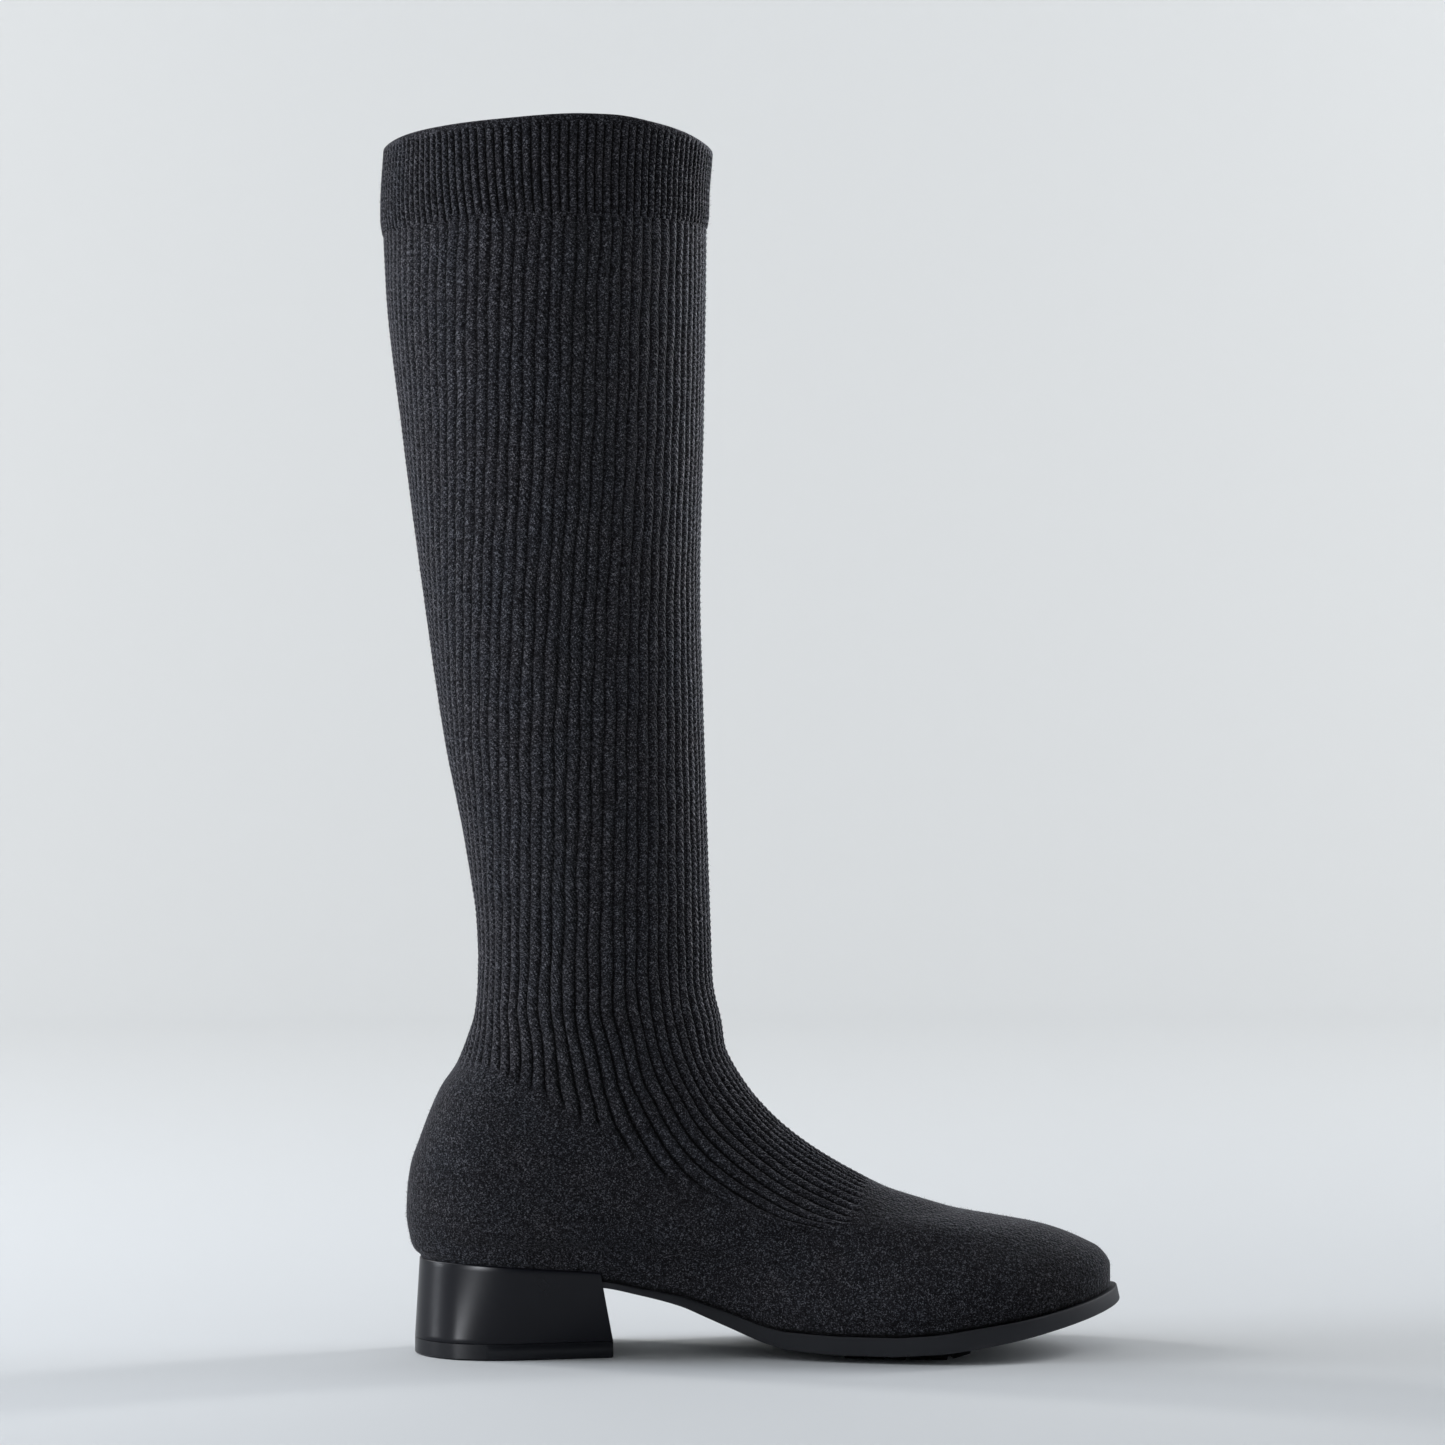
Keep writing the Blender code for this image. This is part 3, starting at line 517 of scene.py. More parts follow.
def quad_grid(rows, columns, start=0):
    """Quads of a grid, facing outwards when rows go up and columns go towards the inner side."""
    index = start + np.arange(rows * columns).reshape(rows, columns)
    corners = [index[:-1, :-1], index[1:, :-1], index[1:, 1:], index[:-1, 1:]]
    return np.stack(corners, axis=-1).reshape(-1, 4)


def piece(name, points, faces, finish, slot, replaced):
    """A mesh object that rides the body, in place of the solid that it stands for; its slot picks its lights.
    """
    mesh = bpy.data.meshes.new(name)
    corners = faces.shape[1]
    mesh.vertices.add(len(points))
    mesh.vertices.foreach_set("co", points.astype(np.float32).ravel())
    mesh.loops.add(faces.size)
    mesh.loops.foreach_set("vertex_index", faces.astype(np.int32).ravel())
    mesh.polygons.add(len(faces))
    mesh.polygons.foreach_set("loop_start", np.arange(0, faces.size, corners, dtype=np.int32))
    mesh.update(calc_edges=True)
    mesh.shade_smooth()
    made = bpy.data.objects.new(name, mesh)
    scene.collection.objects.link(made)
    mesh.materials.append(finish)
    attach(made, "root")
    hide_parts(replaced)
    if slot in LIT_BY_SLOT:
        LIT_BY_SLOT[slot].objects.link(made)
    print(name, "triangles:", (corners - 2) * len(faces))
    return made


def knit_grid(name, points, rib, course, ribbed, groove, finish):
    """A knit piece from a grid of points, with its knit attributes."""
    rows, columns = points.shape[:2]
    flat = points.reshape(-1, 3)
    quads = quad_grid(rows, columns)
    first = np.linalg.norm(flat[quads[:, 0]] - flat[quads[:, 3]], axis=1)
    last = np.linalg.norm(flat[quads[:, 1]] - flat[quads[:, 2]], axis=1)
    made = piece(name, flat, quads[(first > 1e-6) | (last > 1e-6)], finish, "knit", "upper")
    for key, values in (("rib", rib), ("course", course), ("ribbed", ribbed), ("groove", groove)):
        layer = made.data.attributes.new(key, "FLOAT", "POINT")
        spread_out = np.broadcast_to(values, (rows, columns)).astype(np.float32)
        layer.data.foreach_set("value", spread_out.ravel())
    return made


# %% [markdown]
# ## Charcoal melange wool
# The yarn is spun from near-black and grey wool, so the knit is speckled at the size of a stitch, with
# faint cool and warm patches. The flecks are 0.4 mm, coarser than a real fibre, so that they show from
# here. Wool is rough and its loose fibres catch light at grazing angles, which a sheen layer gives: that
# makes the rims glow. Grooves get painted shade: their colour is darkened for the light lost in them. The
# plain knit gets painted shade too: its colour is darkened to even out the stronger light on the foot.
# Stitches are a bump in the knit's own coordinates: a chain of V shapes down each rib, and fine offset
# loops on the plain parts.

# %% Wool material
wool, tree, shader = new_material("charcoal_melange_wool_knit")
place = add(tree, "ShaderNodeTexCoord")
rib = add(tree, "ShaderNodeAttribute", {"attribute_name": "rib"})
course = add(tree, "ShaderNodeAttribute", {"attribute_name": "course"})
ribbed = add(tree, "ShaderNodeAttribute", {"attribute_name": "ribbed"})
groove = add(tree, "ShaderNodeAttribute", {"attribute_name": "groove"})
FLECKS_PER_METRE, CLUMPS_PER_METRE, PATCHES_PER_METRE, LOOPS_PER_METRE = 2800.0, 700.0, 60.0, 800.0
fleck = add(tree, "ShaderNodeTexVoronoi", {"feature": "F1"}, {"Scale": FLECKS_PER_METRE, "Randomness": 1.0},
            {"Vector": place.outputs["Object"]})
fleck_parts = add(tree, "ShaderNodeSeparateColor", {}, {}, {"Color": fleck.outputs["Color"]})
clump = add(tree, "ShaderNodeTexNoise", {}, {"Scale": CLUMPS_PER_METRE, "Detail": 2.0, "Roughness": 0.6},
            {"Vector": place.outputs["Object"]})
patch = add(tree, "ShaderNodeTexNoise", {}, {"Scale": PATCHES_PER_METRE, "Detail": 2.0, "Roughness": 0.5},
            {"Vector": place.outputs["Object"]})
CLUMP_SHARE = 0.5
MIX_TOP = 1.0 + CLUMP_SHARE
mixed = add(tree, "ShaderNodeMath", {"operation": "MULTIPLY_ADD"}, {1: CLUMP_SHARE},
            {0: clump.outputs["Fac"], 2: fleck_parts.outputs["Red"]})
shares = add(tree, "ShaderNodeMath", {"operation": "MULTIPLY"}, {1: 1 / MIX_TOP}, {0: mixed.outputs[0]})
yarn = add(tree, "ShaderNodeValToRGB", {}, {}, {"Fac": shares.outputs[0]})
yarn_steps = ((0.25, "0c0c0e"), (0.62, "18181b"), (0.92, "29292d"), (1.12, "444449"), (1.25, "636368"))
for stop, (position, code) in enumerate(yarn_steps):
    element = yarn.color_ramp.elements[0] if stop == 0 else yarn.color_ramp.elements.new(position / MIX_TOP)
    element.position = position / MIX_TOP
    element.color = linear(code)
yarn.color_ramp.elements.remove(yarn.color_ramp.elements[-1])
tint = add(tree, "ShaderNodeValToRGB", {}, {}, {"Fac": patch.outputs["Fac"]})
tint.color_ramp.elements[0].position = 0.32
tint.color_ramp.elements[0].color = linear("e6eaed")
tint.color_ramp.elements[1].position = 0.68
tint.color_ramp.elements[1].color = linear("edebea")
tinted = add(tree, "ShaderNodeMix", {"data_type": "RGBA", "blend_type": "MULTIPLY"}, {0: 1.0},
             {6: yarn.outputs["Color"], 7: tint.outputs["Color"]})
# Painted shade: the groove attribute darkens the colour, down to 0.06 of it at the bottom of a groove.
painted_groove_shade_range = {"From Min": 0.0, "From Max": 0.85, "To Min": 1.0, "To Max": 0.06}
shade = add(tree, "ShaderNodeMapRange", {}, painted_groove_shade_range, {"Value": groove.outputs["Fac"]})
# Painted shade: the plain knit of heel, foot and toe is darkened to 0.67, to even out the stronger light that
# falls on the foot.
plain_knit_shade_range = {"To Min": 0.67, "To Max": 1.0}
plain_knit_painted_shade = add(tree, "ShaderNodeMapRange", {}, plain_knit_shade_range, {"Value": ribbed.outputs["Fac"]})
painted_shade_factor = add(tree, "ShaderNodeMath", {"operation": "MULTIPLY"}, {},
           {0: shade.outputs["Result"], 1: plain_knit_painted_shade.outputs["Result"]})
deep = add(tree, "ShaderNodeVectorMath", {"operation": "SCALE"}, {},
           {0: tinted.outputs[2], "Scale": painted_shade_factor.outputs[0]})
tree.links.new(deep.outputs[0], shader.inputs["Base Color"])
shader.inputs["Roughness"].default_value = 0.95
shader.inputs["Specular IOR Level"].default_value = 0.1
shader.inputs["Sheen Weight"].default_value = 0.13
shader.inputs["Sheen Roughness"].default_value = 0.35
shader.inputs["Sheen Tint"].default_value = linear("dcdce4")
across = add(tree, "ShaderNodeMath", {"operation": "PINGPONG"}, {1: 0.5}, {0: rib.outputs["Fac"]})
STITCH_SLANT, STITCH_MM = 1.2, 2.3
slant = add(tree, "ShaderNodeMath", {"operation": "MULTIPLY_ADD"}, {1: STITCH_SLANT, 2: 0.0},
            {0: across.outputs[0]})
along = add(tree, "ShaderNodeMath", {"operation": "MULTIPLY_ADD"}, {1: 1 / STITCH_MM},
            {0: course.outputs["Fac"], 2: slant.outputs[0]})
turns = add(tree, "ShaderNodeMath", {"operation": "MULTIPLY"}, {1: 2 * math.pi}, {0: along.outputs[0]})
chain = add(tree, "ShaderNodeMath", {"operation": "SINE"}, {}, {0: turns.outputs[0]})
fine = add(tree, "ShaderNodeTexVoronoi", {"feature": "F1"}, {"Scale": LOOPS_PER_METRE, "Randomness": 0.55},
           {"Vector": place.outputs["Object"]})
plain_relief = add(tree, "ShaderNodeMath", {"operation": "MULTIPLY"}, {1: -1.6},
                   {0: fine.outputs["Distance"]})
relief = add(tree, "ShaderNodeMix", {"data_type": "FLOAT"}, {},
             {0: ribbed.outputs["Fac"], 2: plain_relief.outputs[0], 3: chain.outputs[0]})
rough = add(tree, "ShaderNodeMath", {"operation": "MULTIPLY_ADD"}, {1: 2.2},
            {0: clump.outputs["Fac"], 2: relief.outputs[0]})
bump = add(tree, "ShaderNodeBump", {}, {"Strength": 0.55, "Distance": 0.0004}, {"Height": rough.outputs[0]})
tree.links.new(bump.outputs["Normal"], shader.inputs["Normal"])
hair, hair_tree, hair_shader = new_material("loose_grey_wool_fibre")
hair_shader.inputs["Base Color"].default_value = linear("3c3c41")
hair_shader.inputs["Roughness"].default_value = 0.9
hair_shader.inputs["Specular IOR Level"].default_value = 0.1
hair_shader.inputs["Sheen Weight"].default_value = 0.13
print("wool nodes:", len(tree.nodes), "fibre nodes:", len(hair_tree.nodes))

# %% [markdown]
# ## Shaft and foot
# Rows rise from the feather line over the foot and up the leg to the cuff, about a millimetre apart
# along the shin and vamp. A rib is a round ridge with a narrow groove; the grooves are soft on the shaft
# and crisp over the ankle and instep.

# %% Levels
STITCH = 0.00115
tall = [LOW_RING_HEIGHT + 1e-7]
while tall[-1] < CUFF_BASE + 0.001:
    z = np.array(tall[-1])
    slope = (front_x(z + 1e-5) - front_x(z)) / 1e-5
    tall.append(tall[-1] + STITCH / math.hypot(1.0, float(slope)))
tall = np.array(tall)
bands = np.linspace(0.0, BULGE_BAND, 8)
blends = np.linspace(0.0, 1.0, 24)[1:-1]
band = np.concatenate([bands, np.full(len(blends) + len(tall), BULGE_BAND)])
blend = np.concatenate([np.zeros(len(bands)), blends, np.ones(len(tall))])
height = np.concatenate([np.zeros(len(bands) + len(blends)), tall])
STITCH_RELIEF = 0.00013
TUCK_UNDER = 0.0016
print("rows:", len(height))

# %% Shaft and foot surface
angles = rib_angles(np.maximum(height, LOW_RING_HEIGHT), rib_numbers)
base = skin(band, blend, height, angles)
seam = int(np.searchsorted(height, LOW_RING_HEIGHT * 0.99))
ease = np.exp(-(((np.arange(len(height)) - seam) / 9.0) ** 2))[:, None, None]
smoothed = base.copy()
for step in range(40):
    smoothed[1:-1] += 0.5 * ((smoothed[:-2] + smoothed[2:]) / 2 - smoothed[1:-1])
base = base + (smoothed - base) * np.minimum(1.0, 1.5 * ease)
outward = row_normals(base)
ribbed_part = ribbed_share(base)
across_rib = 2 * np.abs(rib_numbers - np.round(rib_numbers))
CRISP_BELOW, CRISP_REACH = 0.17, 0.05
crisp = np.clip((CRISP_BELOW - base[..., 2]) / CRISP_REACH, 0.0, 1.0)
profile = across_rib**2.8 * (1 - crisp) + across_rib**3.6 * crisp
SOFT_GROOVE, CRISP_GROOVE = 0.0008, 0.0011
groove_depth = SOFT_GROOVE + (CRISP_GROOVE - SOFT_GROOVE) * crisp
groove_shade_paint = profile * ribbed_part * (0.72 + 0.28 * crisp)
course_rows = np.arange(len(height))[:, None]
bead = STITCH_RELIEF * np.cos(math.pi * course_rows) * (1 - across_rib**2) * ribbed_part
knit = base + outward * (crease_push(base) - groove_depth * profile * ribbed_part + bead)[..., None]
under = knit[0] - outward[0] * TUCK_UNDER
knit = np.concatenate([under[None], knit])
height = np.concatenate([[0.0], height])
ribbed_part = np.concatenate([ribbed_part[:1], ribbed_part])
# Painted shadow line: the tucked-under row and the feather row get full painted groove shade, the row above
# 0.4 of it, where the knit meets the sole.
groove_shade_paint = np.concatenate([np.ones((2, knit.shape[1])), 0.4 + 0.0 * groove_shade_paint[1:2], groove_shade_paint[2:]])
base = np.concatenate([base[:1], base])
steps = np.linalg.norm(np.diff(base, axis=0), axis=-1)
course_mm = 1000 * np.concatenate([np.zeros((1, base.shape[1])), np.cumsum(steps, axis=0)])
FOOT_TOP, LOWER_SHAFT_TOP = 0.118, 0.265
split = int(np.searchsorted(height, FOOT_TOP))
split_two = int(np.searchsorted(height, LOWER_SHAFT_TOP))
parts = (
    ("foot_knit", 0, split), ("lower_shaft_knit", split, split_two),
    ("upper_shaft_knit", split_two, len(height) - 1),
)
for name, low, high in parts:
    part = slice(low, high + 1)
    knit_grid(name, knit[part], rib_numbers, course_mm[part], ribbed_part[part], groove_shade_paint[part], wool)

# %% [markdown]
# ## Cuff
# The cuff is a tighter one-by-one rib with deep narrow grooves, a little proud of the shaft. It is
# knitted double: the outside rolls over the collar and runs down inside as a hem. Its ribs lean towards
# the heel at the top where the knit is stretched over the calf.

# %% Cuff
CUFF_RIBS = 120
cuff_ribs = np.arange(-CUFF_RIBS / 2, CUFF_RIBS / 2 + 1e-6, 1 / 6)[None, :]
cuff_up = np.linspace(0.0, 1.0, 27)
roll = np.radians(np.linspace(0, 180, 8))[1:]
down = np.linspace(0.0, 1.0, 12)[1:]
up_share = np.concatenate([[0.0], cuff_up, np.ones(len(roll)), 1 - down])
cuff_angle = 2 * math.pi * cuff_ribs / CUFF_RIBS
lean = math.radians(3.8) * np.exp(-(((np.abs(cuff_angle) - math.radians(115)) / math.radians(30)) ** 2))
cuff_angles = np.clip(cuff_angle + np.sign(cuff_angle) * lean * up_share[:, None], -math.pi, math.pi)
cuff_z = CUFF_BASE + up_share * CUFF_HEIGHT
tilt = (CUFF_TILT * np.clip(1 - up_share / 0.7, 0, 1))[:, None]
arch = (COLLAR_ARCH * up_share**1.15)[:, None]
flatb, flatz = np.full(len(cuff_z), BULGE_BAND), np.ones(len(cuff_z))
cuff_skin = skin(flatb, flatz, cuff_z, cuff_angles, CUFF_STEP, tilt, arch)
cuff_above = skin(flatb, flatz, cuff_z + 1e-4, cuff_angles, CUFF_STEP)
cuff_below = skin(flatb, flatz, cuff_z - 1e-4, cuff_angles, CUFF_STEP)
cuff_out = np.cross(cuff_above - cuff_below, np.gradient(cuff_below, axis=1))
cuff_out /= np.linalg.norm(cuff_out, axis=-1, keepdims=True)
radius = (WALL + CUFF_STEP) / 2
CUFF_TUCK, BASE_TAPER = 0.0016, 0.0006
taper = BASE_TAPER * np.clip(1 - cuff_up / 0.15, 0.0, 1.0)
hem = np.full(len(down), 2 * radius)
inward = np.concatenate([[CUFF_TUCK], taper, radius * (1 - np.cos(roll)), hem])
lift = np.concatenate([[0.0], np.zeros(len(cuff_up)), radius * np.sin(roll), np.zeros(len(down))])
across_cuff = 2 * np.abs(cuff_ribs - np.round(cuff_ribs))
cuff_profile = across_cuff**2.3
fade = np.clip(1.0 - (cuff_up - 0.93) / 0.07, 0.0, 1.0)
edge = np.concatenate([[0.6], fade, np.zeros(len(roll)), np.full(len(down), 0.6)])
edge = np.minimum(edge, 1.0)[:, None]
CUFF_GROOVE, CUFF_PROUD = 0.0011, 0.0002
cuff_push = -CUFF_GROOVE * cuff_profile * edge - inward[:, None] + CUFF_PROUD
cuff_points = cuff_skin + cuff_out * cuff_push[..., None]
cuff_points[..., 2] += lift[:, None] - radius * up_share[:, None]
cuff_steps = np.linalg.norm(np.diff(cuff_skin, axis=0), axis=-1)
cuff_course = 1000 * np.concatenate([np.zeros((1, cuff_skin.shape[1])), np.cumsum(cuff_steps, axis=0)])
# The cuff's groove profile is also its painted groove shade, and its edge share sets how much plain-knit
# painted shade it gets.
knit_grid("cuff_knit", cuff_points, cuff_ribs, cuff_course, edge, cuff_profile * edge, wool)

# %% [markdown]
# ## Lining
# Inside, the wrong side of the knit shows as plain dark loops. It is one smooth tube a wall's thickness
# inside the outer face, from the hem of the cuff down to the footbed, and it faces inwards.

# %% Lining
lining_z = np.concatenate([[CUFF_BASE + 0.002], np.linspace(CUFF_BASE - 0.004, LOW_RING_HEIGHT + 1e-6, 60)])
lining_blend = np.concatenate([np.ones(len(lining_z)), [0.66, 0.33, 0.0, 0.0]])
lining_band = np.concatenate([np.full(len(lining_z) + 3, BULGE_BAND), [0.002]])
lining_height = np.concatenate([lining_z, np.zeros(4)])
lining_angles = np.broadcast_to(np.radians(np.linspace(-180, 180, 97)), (len(lining_height), 97))
lining = skin(lining_band, lining_blend, lining_height, lining_angles, -WALL)
lining_course = np.broadcast_to(1000 * lining_height[:, None], lining.shape[:2])
# The lining takes the painted groove shade evenly at 0.35, and the full plain-knit painted shade.
knit_grid("lining_knit", lining, np.zeros(97), lining_course, 0.0, 0.35, wool)

# %% [markdown]
# ## Loose fibres
# Wool has a nap: thousands of hair ends stand a millimetre or less off the yarn. Each fibre here is a
# thin bent ribbon of two quads, rooted at a chance place on the knit and leaning a chance way. They are
# joined into one mesh. Along the outline they take the hard edge off, as in the photograph.

# %% Fibres
FIBRES = 46000
FIBRE_WIDTH, SHORTEST, LONGEST = 0.00005, 0.0004, 0.0013
SHAFT_SHARE = 0.86
chance = np.random.default_rng(7)


def fibre_roots(points, count):
    """Chance places on a grid of points, with the surface's outward direction there."""
    rows, columns = points.shape[:2]
    outward = row_normals(points)
    row, column = chance.integers(1, rows - 1, count), chance.integers(1, columns - 1, count)
    shift = chance.random((2, count, 1))
    place = points[row, column] + (points[row - 1, column] - points[row, column]) * shift[0]
    place = place + (points[row, column - 1] - points[row, column]) * shift[1]
    return place, outward[row, column]


shaft_roots, shaft_out = fibre_roots(knit[2:], int(FIBRES * SHAFT_SHARE))
cuff_roots, cuff_dir = fibre_roots(cuff_points[1 : len(cuff_up)], FIBRES - int(FIBRES * SHAFT_SHARE))
root = np.concatenate([shaft_roots, cuff_roots])
out = np.concatenate([shaft_out, cuff_dir])
sound = np.linalg.norm(out, axis=1) > 0.5
root, out = root[sound], out[sound]
lean = chance.normal(size=root.shape)
lean -= out * np.sum(lean * out, axis=1, keepdims=True)
lean /= np.linalg.norm(lean, axis=1, keepdims=True)
side = np.cross(out, lean) * FIBRE_WIDTH / 2
length = (SHORTEST + (LONGEST - SHORTEST) * chance.random(len(root)) ** 2)[:, None]
bend = root + (out * 0.75 + lean * 0.5) * length * 0.5
tip = root + (out * (0.55 + 0.35 * chance.random(len(root))[:, None]) + lean * 0.9) * length
fibre_rows = [root - side, root + side, bend + side, bend - side, tip + side / 3, tip - side / 3]
fibre_points = np.stack(fibre_rows, axis=1)
first = 6 * np.arange(len(root))[:, None]
fibre_faces = np.concatenate([first + np.array([[0, 1, 2, 3]]), first + np.array([[3, 2, 4, 5]])])
piece("wool_fibres", fibre_points.reshape(-1, 3), fibre_faces, hair, "knit", "upper")

# %% [markdown]
# ## Outsole
# The outsole is one rubber moulding. Its edge is what shows: thick at the toe, thin under the arch, a
# little flared. The solid has coarse sides, so the same outline is drawn again here with fine steps,
# rounded corners and a shallow groove along the top, where the knit is tucked in.

# %% Sole outline
SOLE_THICKNESS, SOLE_MARGIN, SOLE_FLARE, EDGE_ROUND, GAP = 0.0067, 0.0014, 0.0010, 0.0007, 0.0003
BREAST_TOP_X, BREAST_FLOOR_X, PAD_BACK_X = 0.0705, 0.0752, 0.1590
SOLE_EDGE = (
    (0.000, (0.33, 0.00)), (0.270, (0.33, 0.00)), (0.320, (0.37, -0.70)), (0.380, (0.54, -1.10)),
    (0.412, (0.69, -0.90)), (0.443, (0.80, -0.40)), (0.496, (0.90, 0.50)), (0.523, (0.97, 0.80)),
    (0.592, (1.00, 1.00)), (0.700, (1.00, 1.00)), (0.771, (1.08, 1.00)), (0.824, (1.03, 1.10)),
    (0.892, (0.93, 1.30)), (0.958, (0.90, 1.70)), (1.000, (0.90, 2.00)),
)
around = np.radians(np.linspace(-180, 180, 601))


def sole_edge(x, lane):
    """Share of the sole's thickness (lane 0) or of its margin (lane 1) along x."""
    return curve([(row[0], row[1][lane]) for row in SOLE_EDGE], x / SOLE_LENGTH)


def plan_ring(toe_push, back_push, side_push):
    """The feather line in plan, moved outwards, from the outer side over the toe to the inner side."""
    ring = skin(np.zeros(1), np.zeros(1), np.zeros(1), around[None])[0]
    x = ring[:, 0] - BOOT_TO_ROW
    back, front = x[0], x[len(x) // 2]
    x = back - back_push + (x - back) / (front - back) * (front + toe_push - back + back_push)
    return x, ring[:, 1] - np.sin(around) * side_push(x)


def ahead_of_cup(x):
    """0 at the heel's cup, rising to 1 at the tread pad."""
    return curve(((BREAST_TOP_X, 0.0), (PAD_BACK_X, 1.0)), x)


def sole_row(side, toe_push, turn, under):
    """One row of the outsole's edge: how far out it is, and how far round the corner below or above."""
    x, y = plan_ring(toe_push, 0.0, lambda x: SOLE_MARGIN * sole_edge(x, 1) + side * ahead_of_cup(x))
    thick = sole_edge(x, 0) * SOLE_THICKNESS
    fall = np.minimum(EDGE_ROUND, thick / 3) * (1 - math.sin(turn))
    drop = thick - fall if under else fall
    return np.column_stack([x + BOOT_TO_ROW, y, feather_height(x) - GAP - drop])


print("sole outline points:", len(around))

# %% Outsole mesh
INSET = SOLE_LENGTH - UPPER_TOE_X
TOP_INSET, TOP_SINK = 0.004, 0.0004
sole_rows = []
for turn in np.radians([90, 60, 30, 0]):
    side = SOLE_FLARE - EDGE_ROUND * (1 - math.cos(turn))
    sole_rows.append(sole_row(side, INSET - SOLE_FLARE + side, turn, True))
for turn in np.radians([0, 30, 60, 90]):
    side = -EDGE_ROUND * (1 - math.cos(turn))
    sole_rows.append(sole_row(side, INSET - SOLE_FLARE + side, turn, False))
top_row = sole_row(-TOP_INSET, INSET - 0.006, math.radians(90), False)
top_row[:, 2] -= TOP_SINK
sole_rows.append(top_row)
sole_grid = np.stack(sole_rows)
half = len(around) // 2
under_grid = np.linspace(sole_grid[0, : half + 1], sole_grid[0, half:][::-1], 14, axis=1)
over_grid = np.linspace(sole_grid[-1, : half + 1], sole_grid[-1, half:][::-1], 4, axis=1)
start = sole_grid.shape[0] * sole_grid.shape[1]
under_faces = quad_grid(*under_grid.shape[:2], start=start)
over_faces = quad_grid(*over_grid.shape[:2], start=start + under_grid.shape[0] * under_grid.shape[1])
sole_points = np.concatenate([grid.reshape(-1, 3) for grid in (sole_grid, under_grid, over_grid)])
sole_faces = np.concatenate([quad_grid(*sole_grid.shape[:2]), under_faces, over_faces[:, ::-1]])
print("sole rows:", len(sole_rows))

# %% [markdown]
# ## Heel block and top lift
# The heel is one moulded block. Its sides are ruled from a D shape on the floor to the seat's outline,
# and its top edge is a thin cup round the knit. The wearing layer below it repeats the D. Both are drawn
# again with fine steps and rounded edges, which is what their long upright reflections need.

# %% Heel sizes
HEEL_FLOOR_WIDTH, HEEL_BREAST_TUCK = 0.0525, 0.0075
HEEL_BACK_TOP_X, HEEL_BACK_FLOOR_X = 0.0050, 0.0033
HEEL_CUP_RISE, HEEL_CUP_WALL = 0.0030, 0.0022
HEEL_ROUND_LENGTH, HEEL_ROUND_POWER, HEEL_WAISTING = 0.0400, 2.0, 0.35
LIFT_THICKNESS, LIFT_CHAMFER = 0.0060, 0.0006
AROUND_HEEL = 56
seat_x, seat_y = plan_ring(HEEL_CUP_WALL, HEEL_CUP_WALL, lambda x: HEEL_CUP_WALL)
seat_sides = ((seat_x[half:][::-1], -seat_y[half:][::-1]), (seat_x[: half + 1], seat_y[: half + 1]))


def heel_row(share, shrink=0.0):
    """One D-shaped row of the heel, from the inner side of the breast round the back to the outer side."""
    back = HEEL_BACK_FLOOR_X + (HEEL_BACK_TOP_X - HEEL_BACK_FLOOR_X) * share + shrink
    breast = BREAST_FLOOR_X + (BREAST_TOP_X - BREAST_FLOOR_X) * share - shrink
    travel = 1 - np.cos(0.5 * math.pi * np.arange(AROUND_HEEL + 1) / AROUND_HEEL)
    x = back + travel * (breast - back)
    round_part = np.minimum(1.0, travel * (breast - back) / HEEL_ROUND_LENGTH)
    rounding = (1 - (1 - round_part) ** HEEL_ROUND_POWER) ** (1 / HEEL_ROUND_POWER)
    waisting = share + HEEL_WAISTING * share * (1 - share)
    sides = []
    for (along_x, seat), tuck in zip(seat_sides, (HEEL_BREAST_TUCK, 0.0)):
        floor_half = HEEL_FLOOR_WIDTH / 2 * rounding - tuck * curve(((0.20, 0.0), (1.0, 1.0)), travel)
        top_half = np.interp(along_x[0] + travel * (BREAST_TOP_X - along_x[0]), along_x, seat)
        top_half = np.where(travel > 0, top_half, 0.0)
        sides.append(floor_half + (top_half - floor_half) * waisting - np.where(travel > 0, shrink, 0.0))
    near = np.stack([x, -sides[0]], axis=-1)[::-1]
    far = np.stack([x, sides[1]], axis=-1)[1:]
    return np.concatenate([near, far])


def inward(row):
    """Directions in plan towards the inside of a D-shaped row."""
    along = np.gradient(row[:, :2], axis=0)
    across = np.stack([along[:, 1], -along[:, 0]], axis=-1)
    return across / np.linalg.norm(across, axis=1, keepdims=True)


print("heel row points:", len(heel_row(0.0)))

# %% Heel block mesh
LIP_RADIUS, FOOT_RADIUS = 0.0005, 0.00015
heel_base = LIFT_THICKNESS + 0.0001
walls = []
for share in np.linspace(0.0, 1.0, 17):
    flat_row = heel_row(share)
    top = feather_height(flat_row[:, 0]) + HEEL_CUP_RISE - LIP_RADIUS
    walls.append(np.column_stack([flat_row, heel_base + (top - heel_base) * share]))
breast_levels = len(walls)
floor_row, edge_row = walls[0], walls[-1]
rows = []
for turn in np.radians([90, 45, 0]):
    row = floor_row.copy()
    row[:, :2] += inward(row) * FOOT_RADIUS * (1 - math.cos(turn))
    row[:, 2] += FOOT_RADIUS * (1 - math.sin(turn))
    rows.append(row)
rows += walls[1:]
for turn in np.radians([22.5, 45, 67.5, 90]):
    row = edge_row.copy()
    row[:, :2] += inward(row) * LIP_RADIUS * (1 - math.cos(turn))
    row[:, 2] += LIP_RADIUS * math.sin(turn)
    rows.append(row)
cup = ((HEEL_CUP_WALL - 0.0006, 0.0), (HEEL_CUP_WALL - 0.0004, 0.0004), (HEEL_CUP_WALL, 0.0048))
for inset, drop in cup:
    row = edge_row.copy()
    row[:, :2] += inward(edge_row) * inset
    row[:, 2] += LIP_RADIUS - drop
    rows.append(row)
heel_grid = np.stack(rows)
heel_grid[..., 0] += BOOT_TO_ROW
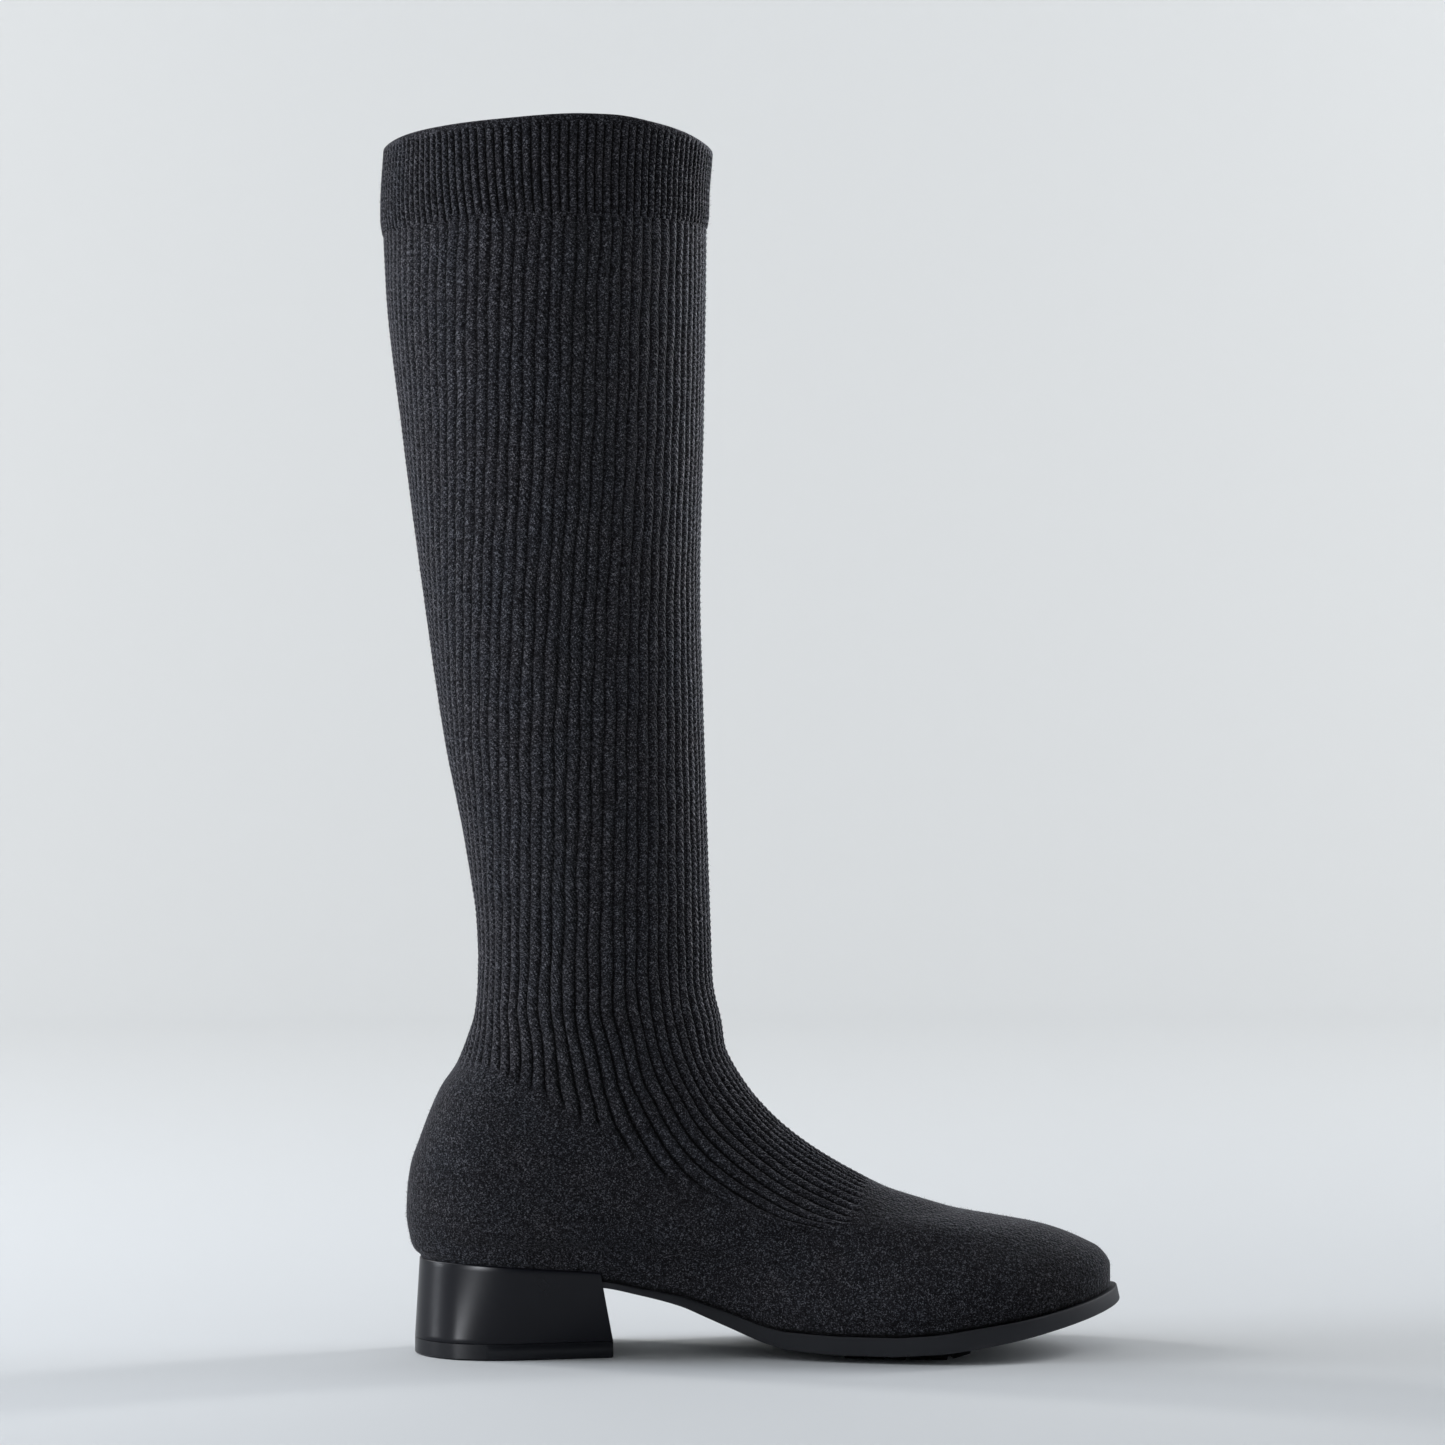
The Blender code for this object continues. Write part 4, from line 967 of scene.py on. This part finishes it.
breast = np.linspace(heel_grid[2 : 2 + breast_levels, 0], heel_grid[2 : 2 + breast_levels, -1], 12, axis=1)
seat_under = feather_height(np.array(BREAST_TOP_X)) - 0.0026
breast[:, 1:-1, 2] = np.minimum(breast[:, 1:-1, 2], seat_under)
breast_faces = quad_grid(*breast.shape[:2], start=heel_grid.shape[0] * heel_grid.shape[1])[:, ::-1]
heel_points = np.concatenate([heel_grid.reshape(-1, 3), breast.reshape(-1, 3)])
heel_faces = np.concatenate([quad_grid(*heel_grid.shape[:2]), breast_faces])
lift_rows = []
LIFT_TOP_ROUND = 0.00012
lift_levels = (
    (LIFT_CHAMFER, 0.0), (0.0, LIFT_CHAMFER), (0.0, LIFT_THICKNESS - LIFT_TOP_ROUND),
    (LIFT_TOP_ROUND, LIFT_THICKNESS),
)
for shrink, z in lift_levels:
    lift_rows.append(np.column_stack([heel_row(0.0, shrink), np.full(2 * AROUND_HEEL + 1, z)]))
lift_grid = np.stack(lift_rows)
lift_grid[..., 0] += BOOT_TO_ROW
lift_front = np.stack([lift_grid[:, 0], lift_grid[:, -1]], axis=1)
lift_floor = np.stack([lift_grid[0, : AROUND_HEEL + 1], lift_grid[0, AROUND_HEEL:][::-1]], axis=1)
lift_start = lift_grid.shape[0] * lift_grid.shape[1]
front_faces = quad_grid(*lift_front.shape[:2], start=lift_start)[:, ::-1]
floor_faces = quad_grid(*lift_floor.shape[:2], start=lift_start + lift_front.shape[0] * 2)
lift_points = np.concatenate([grid.reshape(-1, 3) for grid in (lift_grid, lift_front, lift_floor)])
lift_faces = np.concatenate([quad_grid(*lift_grid.shape[:2]), front_faces, floor_faces])
print("heel rows:", len(rows), "lift rows:", len(lift_rows))

# %% [markdown]
# ## Sole and heel finishes
# The heel is injection-moulded plastic with a satin surface: near black, fairly smooth, with a faint
# orange-peel wave. The top lift is hard rubber with nearly the same gloss. The outsole is moulded
# rubber, matt and dark grey. The footbed is brushed cloth.


# %% Heel, sole and footbed materials
def moulded(name, colour, rough_low, rough_high, grain, depth, specular):
    """A plain moulded surface with uneven gloss and a fine grain."""
    made, tree, shader = new_material(name)
    place = add(tree, "ShaderNodeTexCoord")
    cloud = add(tree, "ShaderNodeTexNoise", {}, {"Scale": 45.0, "Detail": 3.0},
                {"Vector": place.outputs["Object"]})
    gloss_range = {"From Min": 0.3, "From Max": 0.7, "To Min": rough_low, "To Max": rough_high}
    gloss = add(tree, "ShaderNodeMapRange", {}, gloss_range, {"Value": cloud.outputs["Fac"]})
    tree.links.new(gloss.outputs["Result"], shader.inputs["Roughness"])
    fine = add(tree, "ShaderNodeTexNoise", {}, {"Scale": grain, "Detail": 3.0},
               {"Vector": place.outputs["Object"]})
    bump = add(tree, "ShaderNodeBump", {}, {"Strength": 0.4, "Distance": depth},
               {"Height": fine.outputs["Fac"]})
    tree.links.new(bump.outputs["Normal"], shader.inputs["Normal"])
    shader.inputs["Base Color"].default_value = linear(colour)
    shader.inputs["Specular IOR Level"].default_value = specular
    return made


# Each row: name, colour, lowest and highest roughness, grains per metre, grain depth, specular level.
finishes = {
    "heel": moulded("satin_black_moulded_plastic", "0a0b11", 0.27, 0.31, 500.0, 0.00001, 0.22),
    "top_lift": moulded("satin_black_hard_rubber", "131418", 0.28, 0.34, 600.0, 0.00002, 0.25),
    "outsole": moulded("matt_dark_grey_moulded_rubber", "2c2d32", 0.55, 0.68, 2200.0, 0.00008, 0.4),
    "tread_pad": moulded("matt_black_rubber", "151517", 0.7, 0.85, 1800.0, 0.00008, 0.3),
    "insole": moulded("dark_brushed_lining_cloth", "26262a", 0.9, 0.98, 2600.0, 0.0002, 0.2),
}
heel_block = piece("heel_block", heel_points, heel_faces, finishes["heel"], "heel_plastic", "heel")
lift_block = piece("lift_block", lift_points, lift_faces, finishes["top_lift"], "lift_rubber", "top_lift")
sole_finish = finishes["outsole"]
sole_moulding = piece("sole_moulding", sole_points, sole_faces, sole_finish, "sole_rubber", "outsole")
SHARP_DEGREES = 50
for made in (heel_block, lift_block, sole_moulding):
    made.data.set_sharp_from_angle(angle=math.radians(SHARP_DEGREES))
for node, finish in finishes.items():
    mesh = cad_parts[node].data
    mesh.materials.clear()
    mesh.materials.append(finish)
print("finished nodes:", sorted(finishes))
